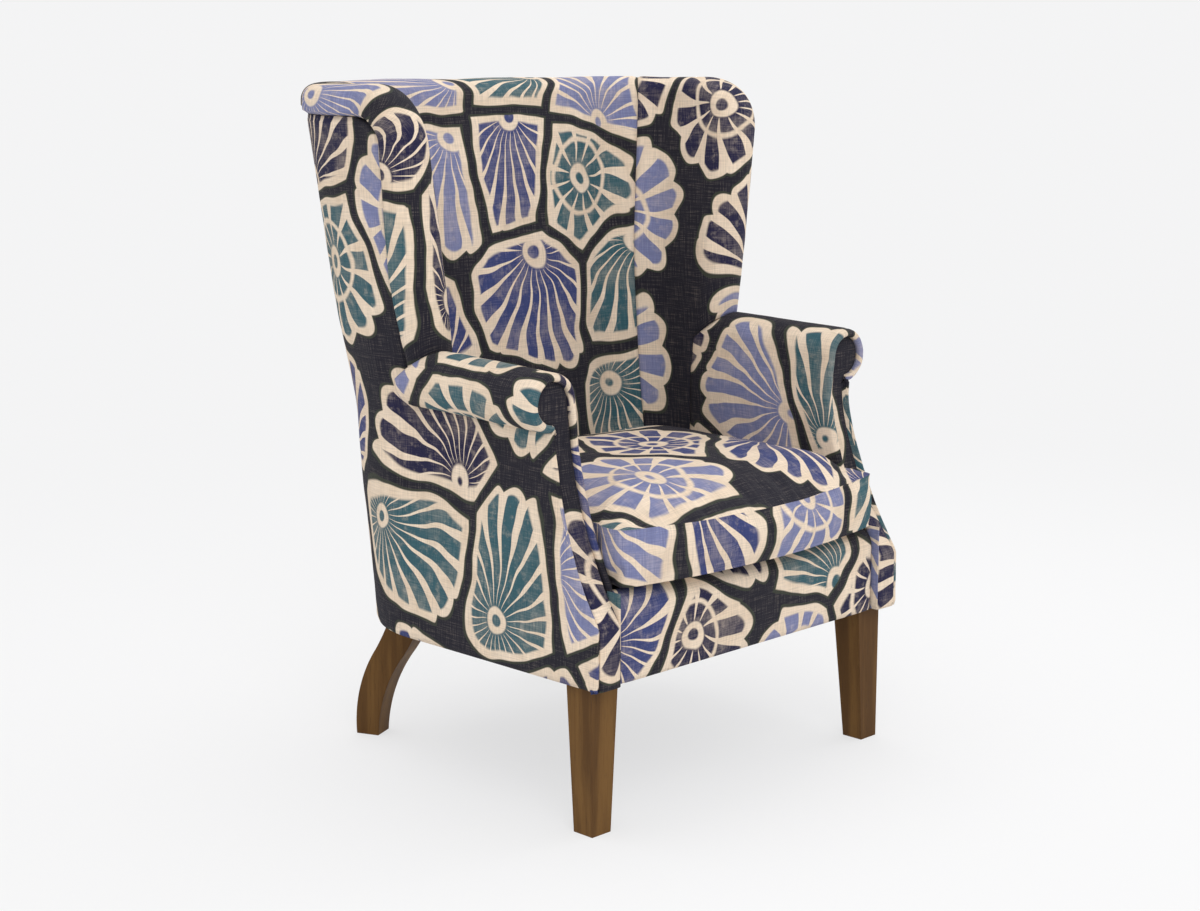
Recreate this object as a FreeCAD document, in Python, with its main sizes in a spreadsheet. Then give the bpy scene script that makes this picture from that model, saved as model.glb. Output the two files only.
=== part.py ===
import FreeCAD, Part
import math
import os
import re
import Sketcher

# Upholstered wing chair with scroll arms, a loose seat cushion and four wooden legs.
# X runs across the chair, Y runs from the front to the back, Z runs up. Lengths are millimetres.
# Depths are counted from the front face of the arm fronts, heights from the floor.
# The left side has negative X and the right side is its mirror image.

SIZES = [
    ("fit_gap", 0.3, "space between pieces that touch"),
    ("cut_overrun", 5.0, "how far a cutting shape runs past what it cuts"),
    ("leg_height", 213.0, "floor to the bottom edge of the cover"),
    ("rail_lift", 2.0, "bottom edge of the cover to the bottom of the rails"),
    ("base_width", 656.0, "outside width at the base"),
    ("waist_width", 628.0, "outside width under the arm rolls"),
    ("wing_middle_width", 716.0, "outside width half way up the wings"),
    ("wing_top_width", 756.0, "outside width at the top seam of the wings"),
    ("block_height", 293.0, "top of the upright part of the arm fronts"),
    ("waist_height", 545.0, "height of the narrow neck under the arm rolls"),
    ("wing_middle_height", 735.0, "half way up the wings"),
    ("band_height", 967.0, "top seam of the outside panels"),
    ("band_corner_height", 930.0, "where the top seam starts to drop at the wing front"),
    ("crest_height", 1013.0, "top of the chair"),
    ("outside_back_base", 583.0, "outside of the back at the bottom edge"),
    ("back_lean", 78.0, "how much farther back the outside of the back is at the top seam"),
    ("back_corner_radius", 190.0, "rounded outside corners of the back"),
    ("seat_width", 532.0, "space between the arms"),
    ("wing_middle_thickness", 82.0, "wings half way up, outside to inside"),
    ("wing_top_thickness", 64.0, "wings at the top seam, outside to inside"),
    ("inside_back_base", 470.0, "front of the inside back at the seat"),
    ("inside_back_top", 545.0, "front of the inside back at the top seam"),
    ("inside_corner_radius", 85.0, "rounded inside corners of the back"),
    ("inside_back_crown", 14.0, "how far the inside back swells at its middle"),
    ("seam_angle", 45.0, "where the wing seam lies on the inside corner, degrees"),
    ("panel_thickness", 5.0, "outside panels, card and cover"),
    ("wall_frame_depth", 34.0, "frame between the outside panel and the padding"),
    ("wing_front_line", 328.0, "front of the wings"),
    ("wing_seam_line", 378.0, "outside seam behind the wing roll"),
    ("wing_seam_setback", 52.0, "how far that seam leans back at the top"),
    ("crest_overhang", 8.0, "how far the top roll stands past the outside panels"),
    ("crest_inset", 24.0, "how far the top roll narrows on its inside"),
    ("crest_front_curve", 100.0, "length of the rounded top corner of the wings"),
    ("arm_height", 642.0, "top of the arm rolls"),
    ("roll_radius", 42.0, "arm roll"),
    ("roll_inside_width", 544.0, "between the inner sides of the arm rolls"),
    ("arm_swell_height", 520.0, "where the inner arm reaches its full thickness"),
    ("neck_line", 92.0, "front of the arm rolls and necks"),
    ("sweep_radius", 770.0, "forward sweep of the arm fronts"),
    ("roll_edge_radius", 12.0, "rounded front edge of the arm rolls"),
    ("facing_inset", 10.0, "facing panel behind the padded border"),
    ("facing_block_inset", 1.0, "the same at the foot of the arm front"),
    ("facing_thickness", 6.0, "facing panel"),
    ("facing_border", 10.0, "padded border round the facing panel"),
    ("block_width", 46.0, "width of the foot of the arm front"),
    ("facing_knee_height", 400.0, "where the inner edge of the facing turns upright"),
    ("arm_post_thickness", 22.0, "arm posts and tack rails"),
    ("arm_post_back", 153.0, "back edge of the arm posts"),
    ("arm_board_height", 22.0, "thickness of the arm boards"),
    ("arm_board_width", 54.0, "width of the arm boards"),
    ("rail_height", 75.0, "seat rails"),
    ("rail_thickness", 25.0, "seat rails"),
    ("front_setback", 19.0, "front border behind the arm fronts"),
    ("front_border_thickness", 12.0, "padding and cover on the front rail"),
    ("front_edge_depth", 27.0, "depth of the padded front edge"),
    ("front_edge_radius", 16.0, "rounded front edge of the seat"),
    ("deck_thickness", 42.4, "padded deck under the cushion"),
    ("deck_tuck", 14.0, "how far the deck runs under the arm padding"),
    ("deck_corner_radius", 160.0, "rear corners of the deck"),
    ("deck_rear_line", 552.0, "rear edge of the deck"),
    ("spring_wire", 4.0, "seat spring wire"),
    ("spring_width", 50.0, "width of a seat spring"),
    ("spring_pitch", 130.0, "centre to centre of the seat springs"),
    ("spring_bend", 26.0, "length of one bend of a seat spring"),
    ("spring_bevel", 9.0, "rounded corner of a spring bend"),
    ("spring_seat", 6.0, "how far the spring ends lie on the rails"),
    ("clip_width", 16.0, "spring clip"),
    ("clip_thickness", 1.3, "spring clip"),
    ("wing_post_depth", 30.0, "wing posts front to back"),
    ("back_post_centre", 108.0, "middle of the back to a back post"),
    ("back_post_width", 36.0, "back posts"),
    ("webbing_thickness", 2.0, "elastic webbing of the back"),
    ("webbing_width", 50.0, "elastic webbing of the back"),
    ("webbing_first_height", 400.0, "lowest webbing strap"),
    ("webbing_pitch", 110.0, "one strap to the next"),
    ("crest_rail_bottom", 905.0, "bottom of the crest rail"),
    ("crest_rail_height", 35.0, "crest rail"),
    ("crest_rail_front", 392.0, "front ends of the crest rail"),
    ("tack_rail_rise", 6.7, "deck to the tack rails"),
    ("tack_rail_height", 32.0, "tack rails"),
    ("corner_block_reach", 80.0, "front corner blocks along each rail"),
    ("corner_block_height", 40.0, "corner blocks"),
    ("rear_block_half_width", 44.0, "rear corner blocks"),
    ("rear_block_inner", 96.0, "rear corner blocks, inner face from the corner centre"),
    ("front_leg_top", 50.0, "front leg, square section at the top"),
    ("front_leg_foot", 36.0, "front leg, square section at the floor"),
    ("front_leg_inset_side", 13.3, "front leg behind the side of the base"),
    ("front_leg_line", 23.0, "front face of the front legs"),
    ("rear_leg_turn", 24.0, "rear legs turned outwards, degrees"),
    ("rear_leg_reach", 146.0, "rear leg top from the corner centre"),
    ("rear_leg_sweep", 79.0, "how far the rear foot stands behind the leg top"),
    ("rear_leg_top", 54.0, "rear leg depth and width at the top"),
    ("rear_leg_knee", 52.0, "rear leg depth at the knee"),
    ("rear_leg_foot", 38.0, "rear leg depth and width at the floor"),
    ("rear_knee_height", 134.0, "height of the knee"),
    ("rear_knee_sweep", 39.0, "how far the knee stands behind the leg top"),
    ("rear_leg_radius", 238.0, "curve of the rear leg under the knee"),
    ("rear_hip_radius", 330.0, "curve of the rear leg above the knee"),
    ("bolt_radius", 3.0, "leg bolts"),
    ("bolt_hole_radius", 3.05, "holes for the leg bolts"),
    ("bolt_depth", 40.0, "leg bolt in the leg"),
    ("washer_radius", 7.0, "leg bolt washer"),
    ("washer_height", 1.6, "leg bolt washer"),
    ("nut_radius", 5.5, "leg bolt nut"),
    ("nut_height", 5.0, "leg bolt nut"),
    ("dust_cover_thickness", 1.5, "cloth under the seat"),
    ("dust_cover_margin", 14.0, "dust cover edge behind the outside of the base"),
    ("dust_cover_clear", 3.0, "dust cover clear of the legs"),
    ("cushion_width", 528.0, "loose seat cushion"),
    ("cushion_proud", 20.0, "how far the cushion swells past the arm fronts"),
    ("cushion_front_line", 6.0, "front corners of the cushion"),
    ("cushion_front_corner", 45.0, "front corner radius of the cushion"),
    ("cushion_rear_corner", 84.0, "rear corner radius of the cushion"),
    ("cushion_clear", 1.5, "cushion clear of the inside back"),
    ("cushion_under", 8.0, "cushion below its bottom seam"),
    ("cushion_boxing", 80.0, "height of the cushion border between the seams"),
    ("cushion_crown", 42.0, "crown of the cushion above its top seam"),
    ("crown_inset", 160.0, "cushion edge to the level middle of its crown"),
    ("under_inset", 46.0, "cushion edge to its flat underside"),
    ("cushion_draw", 4.0, "how far the cushion sides are drawn in"),
    ("cushion_cover", 2.5, "cushion cover cloth and lining"),
    ("zip_width", 14.0, "zip in the rear border of the cushion"),
    ("zip_length", 340.0, "zip in the rear border of the cushion"),
    ("zip_thickness", 1.2, "zip in the rear border of the cushion"),
]

# Rows of the top roll: height, outside offset, inside offset and wing front setback,
# each as a share of the roll height, of the overhang, of the roll inset and of the front curve.
ROLL_SHARES = [
    (0.0, 0.0, 0.0, 0.10),
    (0.28, 1.0, 0.0, 0.18),
    (0.67, 0.62, 0.17, 0.40),
    (0.89, -1.0, 0.50, 0.66),
    (1.0, -2.75, 1.0, 1.0),
]

# Crown of the cushion: inset as a share of the crown inset, height as a share of the crown.
CROWN_SHARES = [(0.09, 0.30), (0.22, 0.55), (0.42, 0.78), (0.70, 0.94), (1.0, 1.0)]
# Underside of the cushion: inset as a share of the underside inset, height as a share.
UNDER_SHARES = [(1.0, 0.0), (0.33, 0.36)]

doc = FreeCAD.newDocument("wing_chair")
sheet = doc.addObject("Spreadsheet::Sheet", "sizes")
for row, (name, number, note) in enumerate(SIZES, start=1):
    sheet.set(f"A{row}", name)
    sheet.set(f"B{row}", str(number))
    sheet.set(f"C{row}", note)
    sheet.setAlias(f"B{row}", name)
doc.recompute()

ALIASES = {name for name, number, note in SIZES}
WORD = re.compile(r"[a-z]+(?:_[a-z]+)*")
parts = []


def expression(text):
    """An expression in the sheet's names, with the sheet named before each."""
    return WORD.sub(lambda m: "sizes." + m.group(0) if m.group(0) in ALIASES else m.group(0), text)


def value(text):
    """The number that an expression in the sheet's names gives."""
    return float(sheet.evalExpression(expression(text)))


def bind(target, prop, text):
    target.setExpression(prop, expression(text))


BACK_TOP = "(outside_back_base + back_lean)"
FRONT = f"(cushion_proud - {BACK_TOP} - crest_overhang) / 2"
RAIL_BOTTOM = "(leg_height + rail_lift)"
RAIL_TOP = "(leg_height + rail_lift + rail_height)"
SKIN = "(panel_thickness + fit_gap)"
WALL = "(panel_thickness + wall_frame_depth + 2 * fit_gap)"
FACING_BACK = "(facing_block_inset + facing_thickness + fit_gap)"
NECK_BACK = "(neck_line + facing_inset + facing_thickness + fit_gap)"
DECK_BOTTOM = "(leg_height + rail_lift + rail_height + spring_wire + clip_thickness + 2 * fit_gap)"
DECK_TOP = f"({DECK_BOTTOM} + deck_thickness)"
RAIL_FRONT = "(front_setback + front_border_thickness + fit_gap)"
ROLL_CENTRE = "(roll_inside_width / 2 + roll_radius)"
ROLL_LEVEL = "(arm_height - roll_radius)"
BOARD_BOTTOM = f"({ROLL_LEVEL} - arm_board_height)"
POST_OUTER = f"(waist_width / 2 - {SKIN})"
POST_INNER = f"({POST_OUTER} - arm_post_thickness)"
RAIL_OUTER = f"(base_width / 2 - {SKIN})"
RAIL_INNER = f"({RAIL_OUTER} - rail_thickness)"
CORNER_X = "(base_width / 2 - back_corner_radius)"
CORNER_Y = "(outside_back_base - back_corner_radius)"
CUSHION_BOTTOM = f"({DECK_TOP} + fit_gap)"
TACK_BOTTOM = f"({DECK_TOP} + tack_rail_rise)"
TACK_TOP = f"({TACK_BOTTOM} + tack_rail_height)"
PANEL_TOP = f"({ROLL_LEVEL} - roll_radius - fit_gap)"

size = {name: value(name) for name in sorted(ALIASES)}
front = value(FRONT)


def between(stations, height):
    """Straight lines between (height, distance) stations, level past both ends."""
    if height <= stations[0][0]:
        return stations[0][1]
    for (low, a), (high, b) in zip(stations, stations[1:]):
        if height <= high:
            return a + (b - a) * (height - low) / (high - low)
    return stations[-1][1]


OUTSIDE = [
    (size["leg_height"], size["base_width"] / 2),
    (size["block_height"], size["base_width"] / 2),
    (size["waist_height"], size["waist_width"] / 2),
    (size["wing_middle_height"], size["wing_middle_width"] / 2),
    (size["band_height"], size["wing_top_width"] / 2),
]
INSIDE = [
    (value(DECK_TOP), size["seat_width"] / 2),
    (size["waist_height"], size["seat_width"] / 2),
    (size["wing_middle_height"], size["wing_middle_width"] / 2 - size["wing_middle_thickness"]),
    (size["band_height"], size["wing_top_width"] / 2 - size["wing_top_thickness"]),
]
BACK = [
    (size["leg_height"], size["outside_back_base"]),
    (size["band_height"], value(BACK_TOP)),
]
INSIDE_BACK = [
    (value(DECK_TOP), size["inside_back_base"]),
    (size["band_height"], size["inside_back_top"]),
]


def height_expression(stations, height):
    """The same straight line as text, for a height between two named stations."""
    (low, a), (high, b) = stations
    return f"({a} + ({b} - {a}) * ({height} - {low}) / ({high} - {low}))"


def back_at(height):
    return height_expression(
        [("leg_height", "outside_back_base"), ("band_height", BACK_TOP)], height
    )


def wing_half_at(height):
    return height_expression(
        [("wing_middle_height", "wing_middle_width / 2"), ("band_height", "wing_top_width / 2")], height
    )


def keep(obj, label):
    """Name a finished piece. Its label is the name of its file."""
    obj.Label = label
    parts.append(obj)
    return obj


def plane_of(body, role):
    return [f for f in body.Origin.OriginFeatures if f.Role == role][0]


def draw(body, name, role, points, arcs=None):
    """A closed sketch on an origin plane. Every corner is tied to the sheet by two
    distances, and arcs maps an edge number to its radius and the side it swells to."""
    arcs = arcs or {}
    sketch = body.newObject("Sketcher::SketchObject", name)
    sketch.AttachmentSupport = [(plane_of(body, role), "")]
    sketch.MapMode = "FlatFace"
    spots = [(value(a), value(b)) for a, b in points]
    count = len(points)
    for i in range(count):
        p = FreeCAD.Vector(spots[i][0], spots[i][1], 0)
        q = FreeCAD.Vector(spots[(i + 1) % count][0], spots[(i + 1) % count][1], 0)
        if i in arcs:
            radius, side = value(arcs[i][0]), arcs[i][1]
            along = q - p
            sag = radius - math.sqrt(radius**2 - along.Length**2 / 4)
            across = FreeCAD.Vector(-along.y, along.x, 0).normalize()
            middle = (p + q) / 2 + across * side * sag
            first, last = (q, p) if side > 0 else (p, q)
            sketch.addGeometry(Part.Arc(first, middle, last))
        else:
            sketch.addGeometry(Part.LineSegment(p, q))

    def ends(i):
        """Which end of edge i is its first and which its last. An arc runs anticlockwise."""
        return (2, 1) if i in arcs and arcs[i][1] > 0 else (1, 2)

    for i in range(count):
        j = (i + 1) % count
        sketch.addConstraint(Sketcher.Constraint("Coincident", i, ends(i)[1], j, ends(j)[0]))
    for i in range(count):
        for axis, kind in enumerate(("DistanceX", "DistanceY")):
            number = sketch.addConstraint(Sketcher.Constraint(kind, -1, 1, i, ends(i)[0], spots[i][axis]))
            bind(sketch, f"Constraints[{number}]", points[i][axis])
    for i in arcs:
        number = sketch.addConstraint(Sketcher.Constraint("Radius", i, value(arcs[i][0])))
        bind(sketch, f"Constraints[{number}]", arcs[i][0])
    return sketch


def new_body(name, shift=("0", FRONT, "0")):
    body = doc.addObject("PartDesign::Body", name)
    for axis, text in zip("xyz", shift):
        bind(body, f"Placement.Base.{axis}", text)
    return body


def prism(name, role, points, length, arcs=None, shift=("0", FRONT, "0"), middle=False):
    """A body with one pad: an outline on a plane, pushed to a length."""
    body = new_body(name, shift)
    pad = body.newObject("PartDesign::Pad", name + "_pad")
    pad.Profile = draw(body, name + "_outline", role, points, arcs)
    pad.Midplane = middle
    bind(pad, "Length", length)
    return body


def mirror(source, label):
    """The right hand twin of a left hand piece."""
    twin = doc.addObject("Part::Mirroring", label)
    twin.Source = source
    twin.Normal = FreeCAD.Vector(1, 0, 0)
    return keep(twin, label)


def pair(obj, name):
    keep(obj, "left_" + name)
    mirror(obj, "right_" + name)


def shape_object(shape, label):
    obj = doc.addObject("Part::Feature", label)
    obj.Shape = shape
    return obj


def section(height, start, steps, chords=0):
    """A closed wire at one height. A step of two numbers is a straight line to that point,
    a step of four is an arc through the first point to the second. Where chords is given,
    each arc is that many equal chords, so that padding lofts into few flat facets."""
    def at(x, y):
        return FreeCAD.Vector(x, front + y, height)

    edges = []
    here = at(*start)
    for step in steps:
        there = at(step[-2], step[-1])
        if len(step) == 2:
            edges.append(Part.LineSegment(here, there).toShape())
        else:
            arc = Part.Arc(here, at(step[0], step[1]), there)
            if chords:
                spots = arc.discretize(Number=chords + 1)
                edges += [Part.LineSegment(p, q).toShape() for p, q in zip(spots, spots[1:])]
            else:
                edges.append(arc.toShape())
        here = there
    return Part.Wire(edges)


def loft(sections):
    """A ruled loft. Where the sections are all straight lines its facets are true planes,
    a twisted one split along its shorter diagonal."""
    if any(not isinstance(edge.Curve, Part.Line) for wire in sections for edge in wire.Edges):
        return Part.makeLoft(sections, True, True)
    rings = [[edge.firstVertex(True).Point for edge in wire.OrderedEdges] for wire in sections]
    facets = [[rings[0]], [rings[-1]]]
    for low, high in zip(rings, rings[1:]):
        for i in range(len(low)):
            j = (i + 1) % len(low)
            facets.append(straight_facet(low[i], low[j], high[j], high[i]))
    faces = [Part.Face(Part.makePolygon(spots + spots[:1])) for group in facets for spots in group]
    return Part.Solid(Part.makeShell(faces))


def straight_facet(a, b, c, d):
    """Four corners as one flat facet, or as two where they don't lie in a plane."""
    across = (b - a).cross(d - a)
    if abs(across.normalize().dot(c - a)) < FLATNESS:
        return [[a, b, c, d]]
    if (c - a).Length < (d - b).Length:
        return [[a, b, c], [a, c, d]]
    return [[a, b, d], [b, c, d]]


def on_circle(x, y, radius, degrees):
    """A point on a circle, with the angle counted from straight left towards the back."""
    turn = math.radians(degrees)
    return (x - radius * math.cos(turn), y + radius * math.sin(turn))


def side_prism(points, arcs, reach):
    """A cutting shape: an outline of (depth, height) points, pushed from the middle to the left.
    arcs maps an edge number to its radius and the side it swells to."""
    edges = []
    count = len(points)
    spots = [FreeCAD.Vector(0, front + y, z) for y, z in points]
    for i in range(count):
        p, q = spots[i], spots[(i + 1) % count]
        if i in arcs:
            radius, side = arcs[i]
            along = q - p
            sag = radius - math.sqrt(radius**2 - along.Length**2 / 4)
            across = FreeCAD.Vector(0, -along.z, along.y).normalize()
            edges.append(Part.Arc(p, (p + q) / 2 + across * side * sag, q).toShape())
        else:
            edges.append(Part.LineSegment(p, q).toShape())
    return Part.Face(Part.Wire(edges)).extrude(FreeCAD.Vector(-reach, 0, 0))


# Shell of the chair. The outside is a U in plan that leans out and back with height.

def outside(height, offset=0.0):
    """Half width, back line and corner radius of the outside, moved out by an offset."""
    return (
        between(OUTSIDE, height) + offset,
        between(BACK, height) + offset,
        size["back_corner_radius"] + offset,
    )


def inside(height, offset=0.0):
    """Half width, back line and corner radius of the inside, moved out by an offset."""
    return (
        between(INSIDE, height) + offset,
        between(INSIDE_BACK, height) + offset,
        size["inside_corner_radius"] + offset,
    )


def seam_point(height, offset=0.0):
    """Where the wing seam lies on the left inside corner."""
    half, back, radius = inside(height, offset)
    return on_circle(-(half - radius), back - radius, radius, size["seam_angle"])


def seam_foot(height, inner_offset, outer_offset):
    """Where the seam line, run outwards, meets the U that is moved out by outer_offset,
    with the angle of that point on the U's corner."""
    x, y = seam_point(height, inner_offset)
    half, back, radius = outside(height, outer_offset)
    turn = math.radians(size["seam_angle"])
    run = (-math.cos(turn), math.sin(turn))
    dx, dy = x + (half - radius), y - (back - radius)
    along = dx * run[0] + dy * run[1]
    reach = -along + math.sqrt(along**2 - (dx**2 + dy**2 - radius**2))
    fx, fy = x + run[0] * reach, y + run[1] * reach
    degrees = math.degrees(math.atan2(fy - (back - radius), -(fx + (half - radius))))
    return fx, fy, degrees


PAD_CHORDS = 7
CUSHION_CHORDS = 8
FLATNESS = 1e-7


def outside_corner(height, offset, degrees):
    half, back, radius = outside(height, offset)
    return on_circle(-(half - radius), back - radius, radius, degrees)


def inside_corner(height, offset, degrees):
    half, back, radius = inside(height, offset)
    return on_circle(-(half - radius), back - radius, radius, degrees)


RIGHT_ANGLE = 90.0
HALF_TURN = 180.0
WALL_DEPTH = value(WALL)
SHELL_LEVELS = ("leg_height", "block_height", "waist_height", "wing_middle_height", "band_height")


def side_panel_section(height):
    """Left outside panel: a thin strip from the front round the rear corner."""
    half, back, radius = outside(height)
    thin = size["panel_thickness"]
    return section(height, (-half, 0.0), [
        (-half, back - radius),
        (*outside_corner(height, 0.0, RIGHT_ANGLE / 2), -(half - radius), back),
        (-(half - radius), back - thin),
        (*outside_corner(height, -thin, RIGHT_ANGLE / 2), -(half - thin), back - radius),
        (-(half - thin), 0.0),
        (-half, 0.0),
    ])


def back_panel_section(height):
    """Outside back panel: the flat stretch between the two rounded corners."""
    half, back, radius = outside(height)
    wide = half - radius - size["fit_gap"]
    thin = size["panel_thickness"]
    return section(height, (-wide, back), [
        (wide, back),
        (wide, back - thin),
        (-wide, back - thin),
        (-wide, back),
    ])


def front_profile(extra, top):
    """Front edge of the arm seen from the side, moved back by extra, up to a height."""
    return [
        (extra, size["leg_height"]),
        (extra, size["block_height"]),
        (size["neck_line"] + extra, size["waist_height"]),
        (size["neck_line"] + extra, top),
    ]


SWEEP_EDGE = {1: (size["sweep_radius"], -1)}
FAR_BACK = value(BACK_TOP) + size["cut_overrun"]
SIDE_REACH = size["wing_top_width"]


def outside_side_panel():
    """The cover of one side, from the base to the top seam in one piece."""
    strip = loft([side_panel_section(size[name]) for name in SHELL_LEVELS])
    low = size["leg_height"] - size["cut_overrun"]
    high = size["band_height"]
    outline = front_profile(0.0, value(PANEL_TOP))
    outline[0] = (0.0, low)
    outline += [
        (size["wing_seam_line"], value(PANEL_TOP)),
        (size["wing_seam_line"], size["band_corner_height"]),
        (size["wing_seam_line"] + size["wing_seam_setback"], high),
        (FAR_BACK, high),
        (FAR_BACK, low),
    ]
    return strip.common(side_prism(outline, SWEEP_EDGE, SIDE_REACH))


def wing_section(height, setback, seam_line):
    """Left wing below the top seam: the front roll, the padding and the wall behind it."""
    outer = outside(height)[0] + size["crest_overhang"]
    inner, inner_back, inner_radius = inside(height)
    half, back, radius = outside(height, -WALL_DEPTH)
    roll = (outer - inner) / 2
    middle = (outer + inner) / 2
    centre = size["wing_front_line"] + setback + roll
    x, y, degrees = seam_foot(height, 0.0, -WALL_DEPTH)
    return section(height, (-outer, seam_line), [
        (-outer, centre),
        (*on_circle(-middle, centre, roll, -RIGHT_ANGLE / 2), -middle, centre - roll),
        (*on_circle(-middle, centre, roll, -RIGHT_ANGLE * 3 / 2), -inner, centre),
        (-inner, inner_back - inner_radius),
        (*inside_corner(height, 0.0, size["seam_angle"] / 2), *seam_point(height)),
        (x, y),
        (*outside_corner(height, -WALL_DEPTH, degrees / 2), -half, back - radius),
        (-half, seam_line),
        (-outer, seam_line),
    ], PAD_CHORDS)


def wing_top_section(height, out, within, setback):
    """Left wing above the top seam, where the roll covers the whole wall."""
    outer = outside(height, out)[0]
    inner, inner_back, inner_radius = inside(height, within)
    back, radius = outside(height, out)[1:]
    roll = (outer - inner) / 2
    middle = (outer + inner) / 2
    centre = size["wing_front_line"] + setback + roll
    x, y, degrees = seam_foot(height, within, out)
    return section(height, (-outer, centre), [
        (*on_circle(-middle, centre, roll, -RIGHT_ANGLE / 2), -middle, centre - roll),
        (*on_circle(-middle, centre, roll, -RIGHT_ANGLE * 3 / 2), -inner, centre),
        (-inner, inner_back - inner_radius),
        (*inside_corner(height, within, size["seam_angle"] / 2), *seam_point(height, within)),
        (x, y),
        (*outside_corner(height, out, degrees / 2), -outer, back - radius),
        (-outer, centre),
    ], PAD_CHORDS)


def corner_pad_section(height):
    """Padding of the rear corner below the wing roll."""
    inner, inner_back, inner_radius = inside(height)
    half, back, radius = outside(height, -WALL_DEPTH)
    x, y, degrees = seam_foot(height, 0.0, -WALL_DEPTH)
    start = size["wing_seam_line"] + size["fit_gap"]
    return section(height, (-inner, start), [
        (-inner, inner_back - inner_radius),
        (*inside_corner(height, 0.0, size["seam_angle"] / 2), *seam_point(height)),
        (x, y),
        (*outside_corner(height, -WALL_DEPTH, degrees / 2), -half, back - radius),
        (-half, start),
        (-inner, start),
    ], PAD_CHORDS)


def back_section(height, out, within):
    """Inside back between the two seams, from its crowned front to the U moved out by out."""
    inner, inner_back, inner_radius = inside(height, within)
    half, back, radius = outside(height, out)
    sx, sy = seam_point(height, within)
    fx, fy, degrees = seam_foot(height, within, out)
    mid_in = inside_corner(height, within, (RIGHT_ANGLE + size["seam_angle"]) / 2)
    mid_out = outside_corner(height, out, (RIGHT_ANGLE + degrees) / 2)
    flat_in, flat_out = inner - inner_radius, half - radius
    return section(height, (sx, sy), [
        (*mid_in, -flat_in, inner_back),
        (0.0, inner_back - size["inside_back_crown"], flat_in, inner_back),
        (-mid_in[0], mid_in[1], -sx, sy),
        (-fx, fy),
        (-mid_out[0], mid_out[1], flat_out, back),
        (-flat_out, back),
        (*mid_out, fx, fy),
        (sx, sy),
    ], PAD_CHORDS)


def roll_rows():
    """The rows of the top roll as lengths: height, out, within and front setback."""
    rise = size["crest_height"] - size["band_height"]
    return [
        (
            size["band_height"] + tall * rise,
            out * size["crest_overhang"],
            within * size["crest_inset"],
            setback * size["crest_front_curve"],
        )
        for tall, out, within, setback in ROLL_SHARES
    ]


def wing_join_height():
    """Height at which the slanting seam between arm and wing reaches the wing seam line."""
    return value(ROLL_LEVEL) + size["fit_gap"]


def arm_wing_seam():
    """Two points of the slanting seam between the arm roll and the wing, seen from the side."""
    join = wing_join_height()
    high = size["arm_height"]
    slope = (size["wing_seam_line"] - size["wing_front_line"]) / (high - join)
    over = high + size["cut_overrun"]
    return (
        (size["wing_front_line"] - slope * size["cut_overrun"], over),
        (size["wing_seam_line"], join),
    )


def inside_wing():
    """Left wing: front roll, inside padding, rear corner padding and its stretch of top roll."""
    join = wing_join_height()
    start, seam = 0.0, size["wing_seam_line"]
    first_setback = ROLL_SHARES[0][3] * size["crest_front_curve"]
    rows = [
        wing_section(join, start, seam),
        wing_section(size["wing_middle_height"], start, seam),
        wing_section(size["band_corner_height"], start, seam),
        wing_section(size["band_height"], first_setback, seam + size["wing_seam_setback"]),
    ]
    upper = loft(rows)
    top, bottom = arm_wing_seam()
    low = join - size["cut_overrun"]
    outline = [top, bottom, (bottom[0], low), (-size["cut_overrun"], low), (-size["cut_overrun"], top[1])]
    upper = upper.cut(side_prism(outline, {}, SIDE_REACH))
    lower = loft([corner_pad_section(h) for h in (value(CUSHION_BOTTOM), size["waist_height"], join)])
    roll = loft([wing_top_section(*row) for row in roll_rows()])
    return upper.fuse([lower, roll]).removeSplitter()


def inside_back():
    """Crowned inside back with its stretch of top roll."""
    levels = [value(CUSHION_BOTTOM)] + [size[n] for n in SHELL_LEVELS[2:]]
    pad = loft([back_section(h, -WALL_DEPTH, 0.0) for h in levels])
    roll = loft([back_section(row[0], row[1], row[2]) for row in roll_rows()])
    return pad.fuse(roll).removeSplitter()


def front_face(points):
    """A face from (across, height) points in the plane of the arm fronts. A point of four
    numbers is reached by an arc through its first two."""
    def at(x, z):
        return FreeCAD.Vector(x, front, z)

    edges = []
    here = at(*points[0][-2:])
    for step in points[1:] + [points[0][-2:]]:
        there = at(*step[-2:])
        if len(step) == 2:
            edges.append(Part.LineSegment(here, there).toShape())
        else:
            edges.append(Part.Arc(here, at(step[0], step[1]), there).toShape())
        here = there
    return Part.Face(Part.Wire(edges))


def facing_outline(grow):
    """Scroll of the arm front: round head, narrow neck and the foot, grown all round."""
    cx, cz = -value(ROLL_CENTRE), value(ROLL_LEVEL)
    head = size["roll_radius"] - size["facing_border"] + grow
    outer_neck = -value(POST_OUTER) - grow
    outer_foot = -value(RAIL_OUTER) - grow
    inner_neck = -(size["seat_width"] / 2 + size["facing_border"]) + grow
    inner_foot = -(size["base_width"] / 2 - size["block_width"]) + grow
    drop = math.sqrt(head**2 - (cx - outer_neck) ** 2)
    bend = (RIGHT_ANGLE - math.degrees(math.asin((cx - outer_neck) / head))) / 2
    low = size["leg_height"] - grow
    return [
        (inner_foot, low),
        (inner_foot, value(CUSHION_BOTTOM)),
        (inner_neck, size["facing_knee_height"]),
        (inner_neck, size["waist_height"]),
        (cx + head, cz),
        (*on_circle(cx, cz, head, RIGHT_ANGLE * 3 / 2), cx, cz + head),
        (*on_circle(cx, cz, head, RIGHT_ANGLE / 2), cx - head, cz),
        (*on_circle(cx, cz, head, -bend), outer_neck, cz - drop),
        (outer_neck, size["waist_height"]),
        (outer_foot, size["block_height"]),
        (outer_foot, low),
    ]


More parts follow.
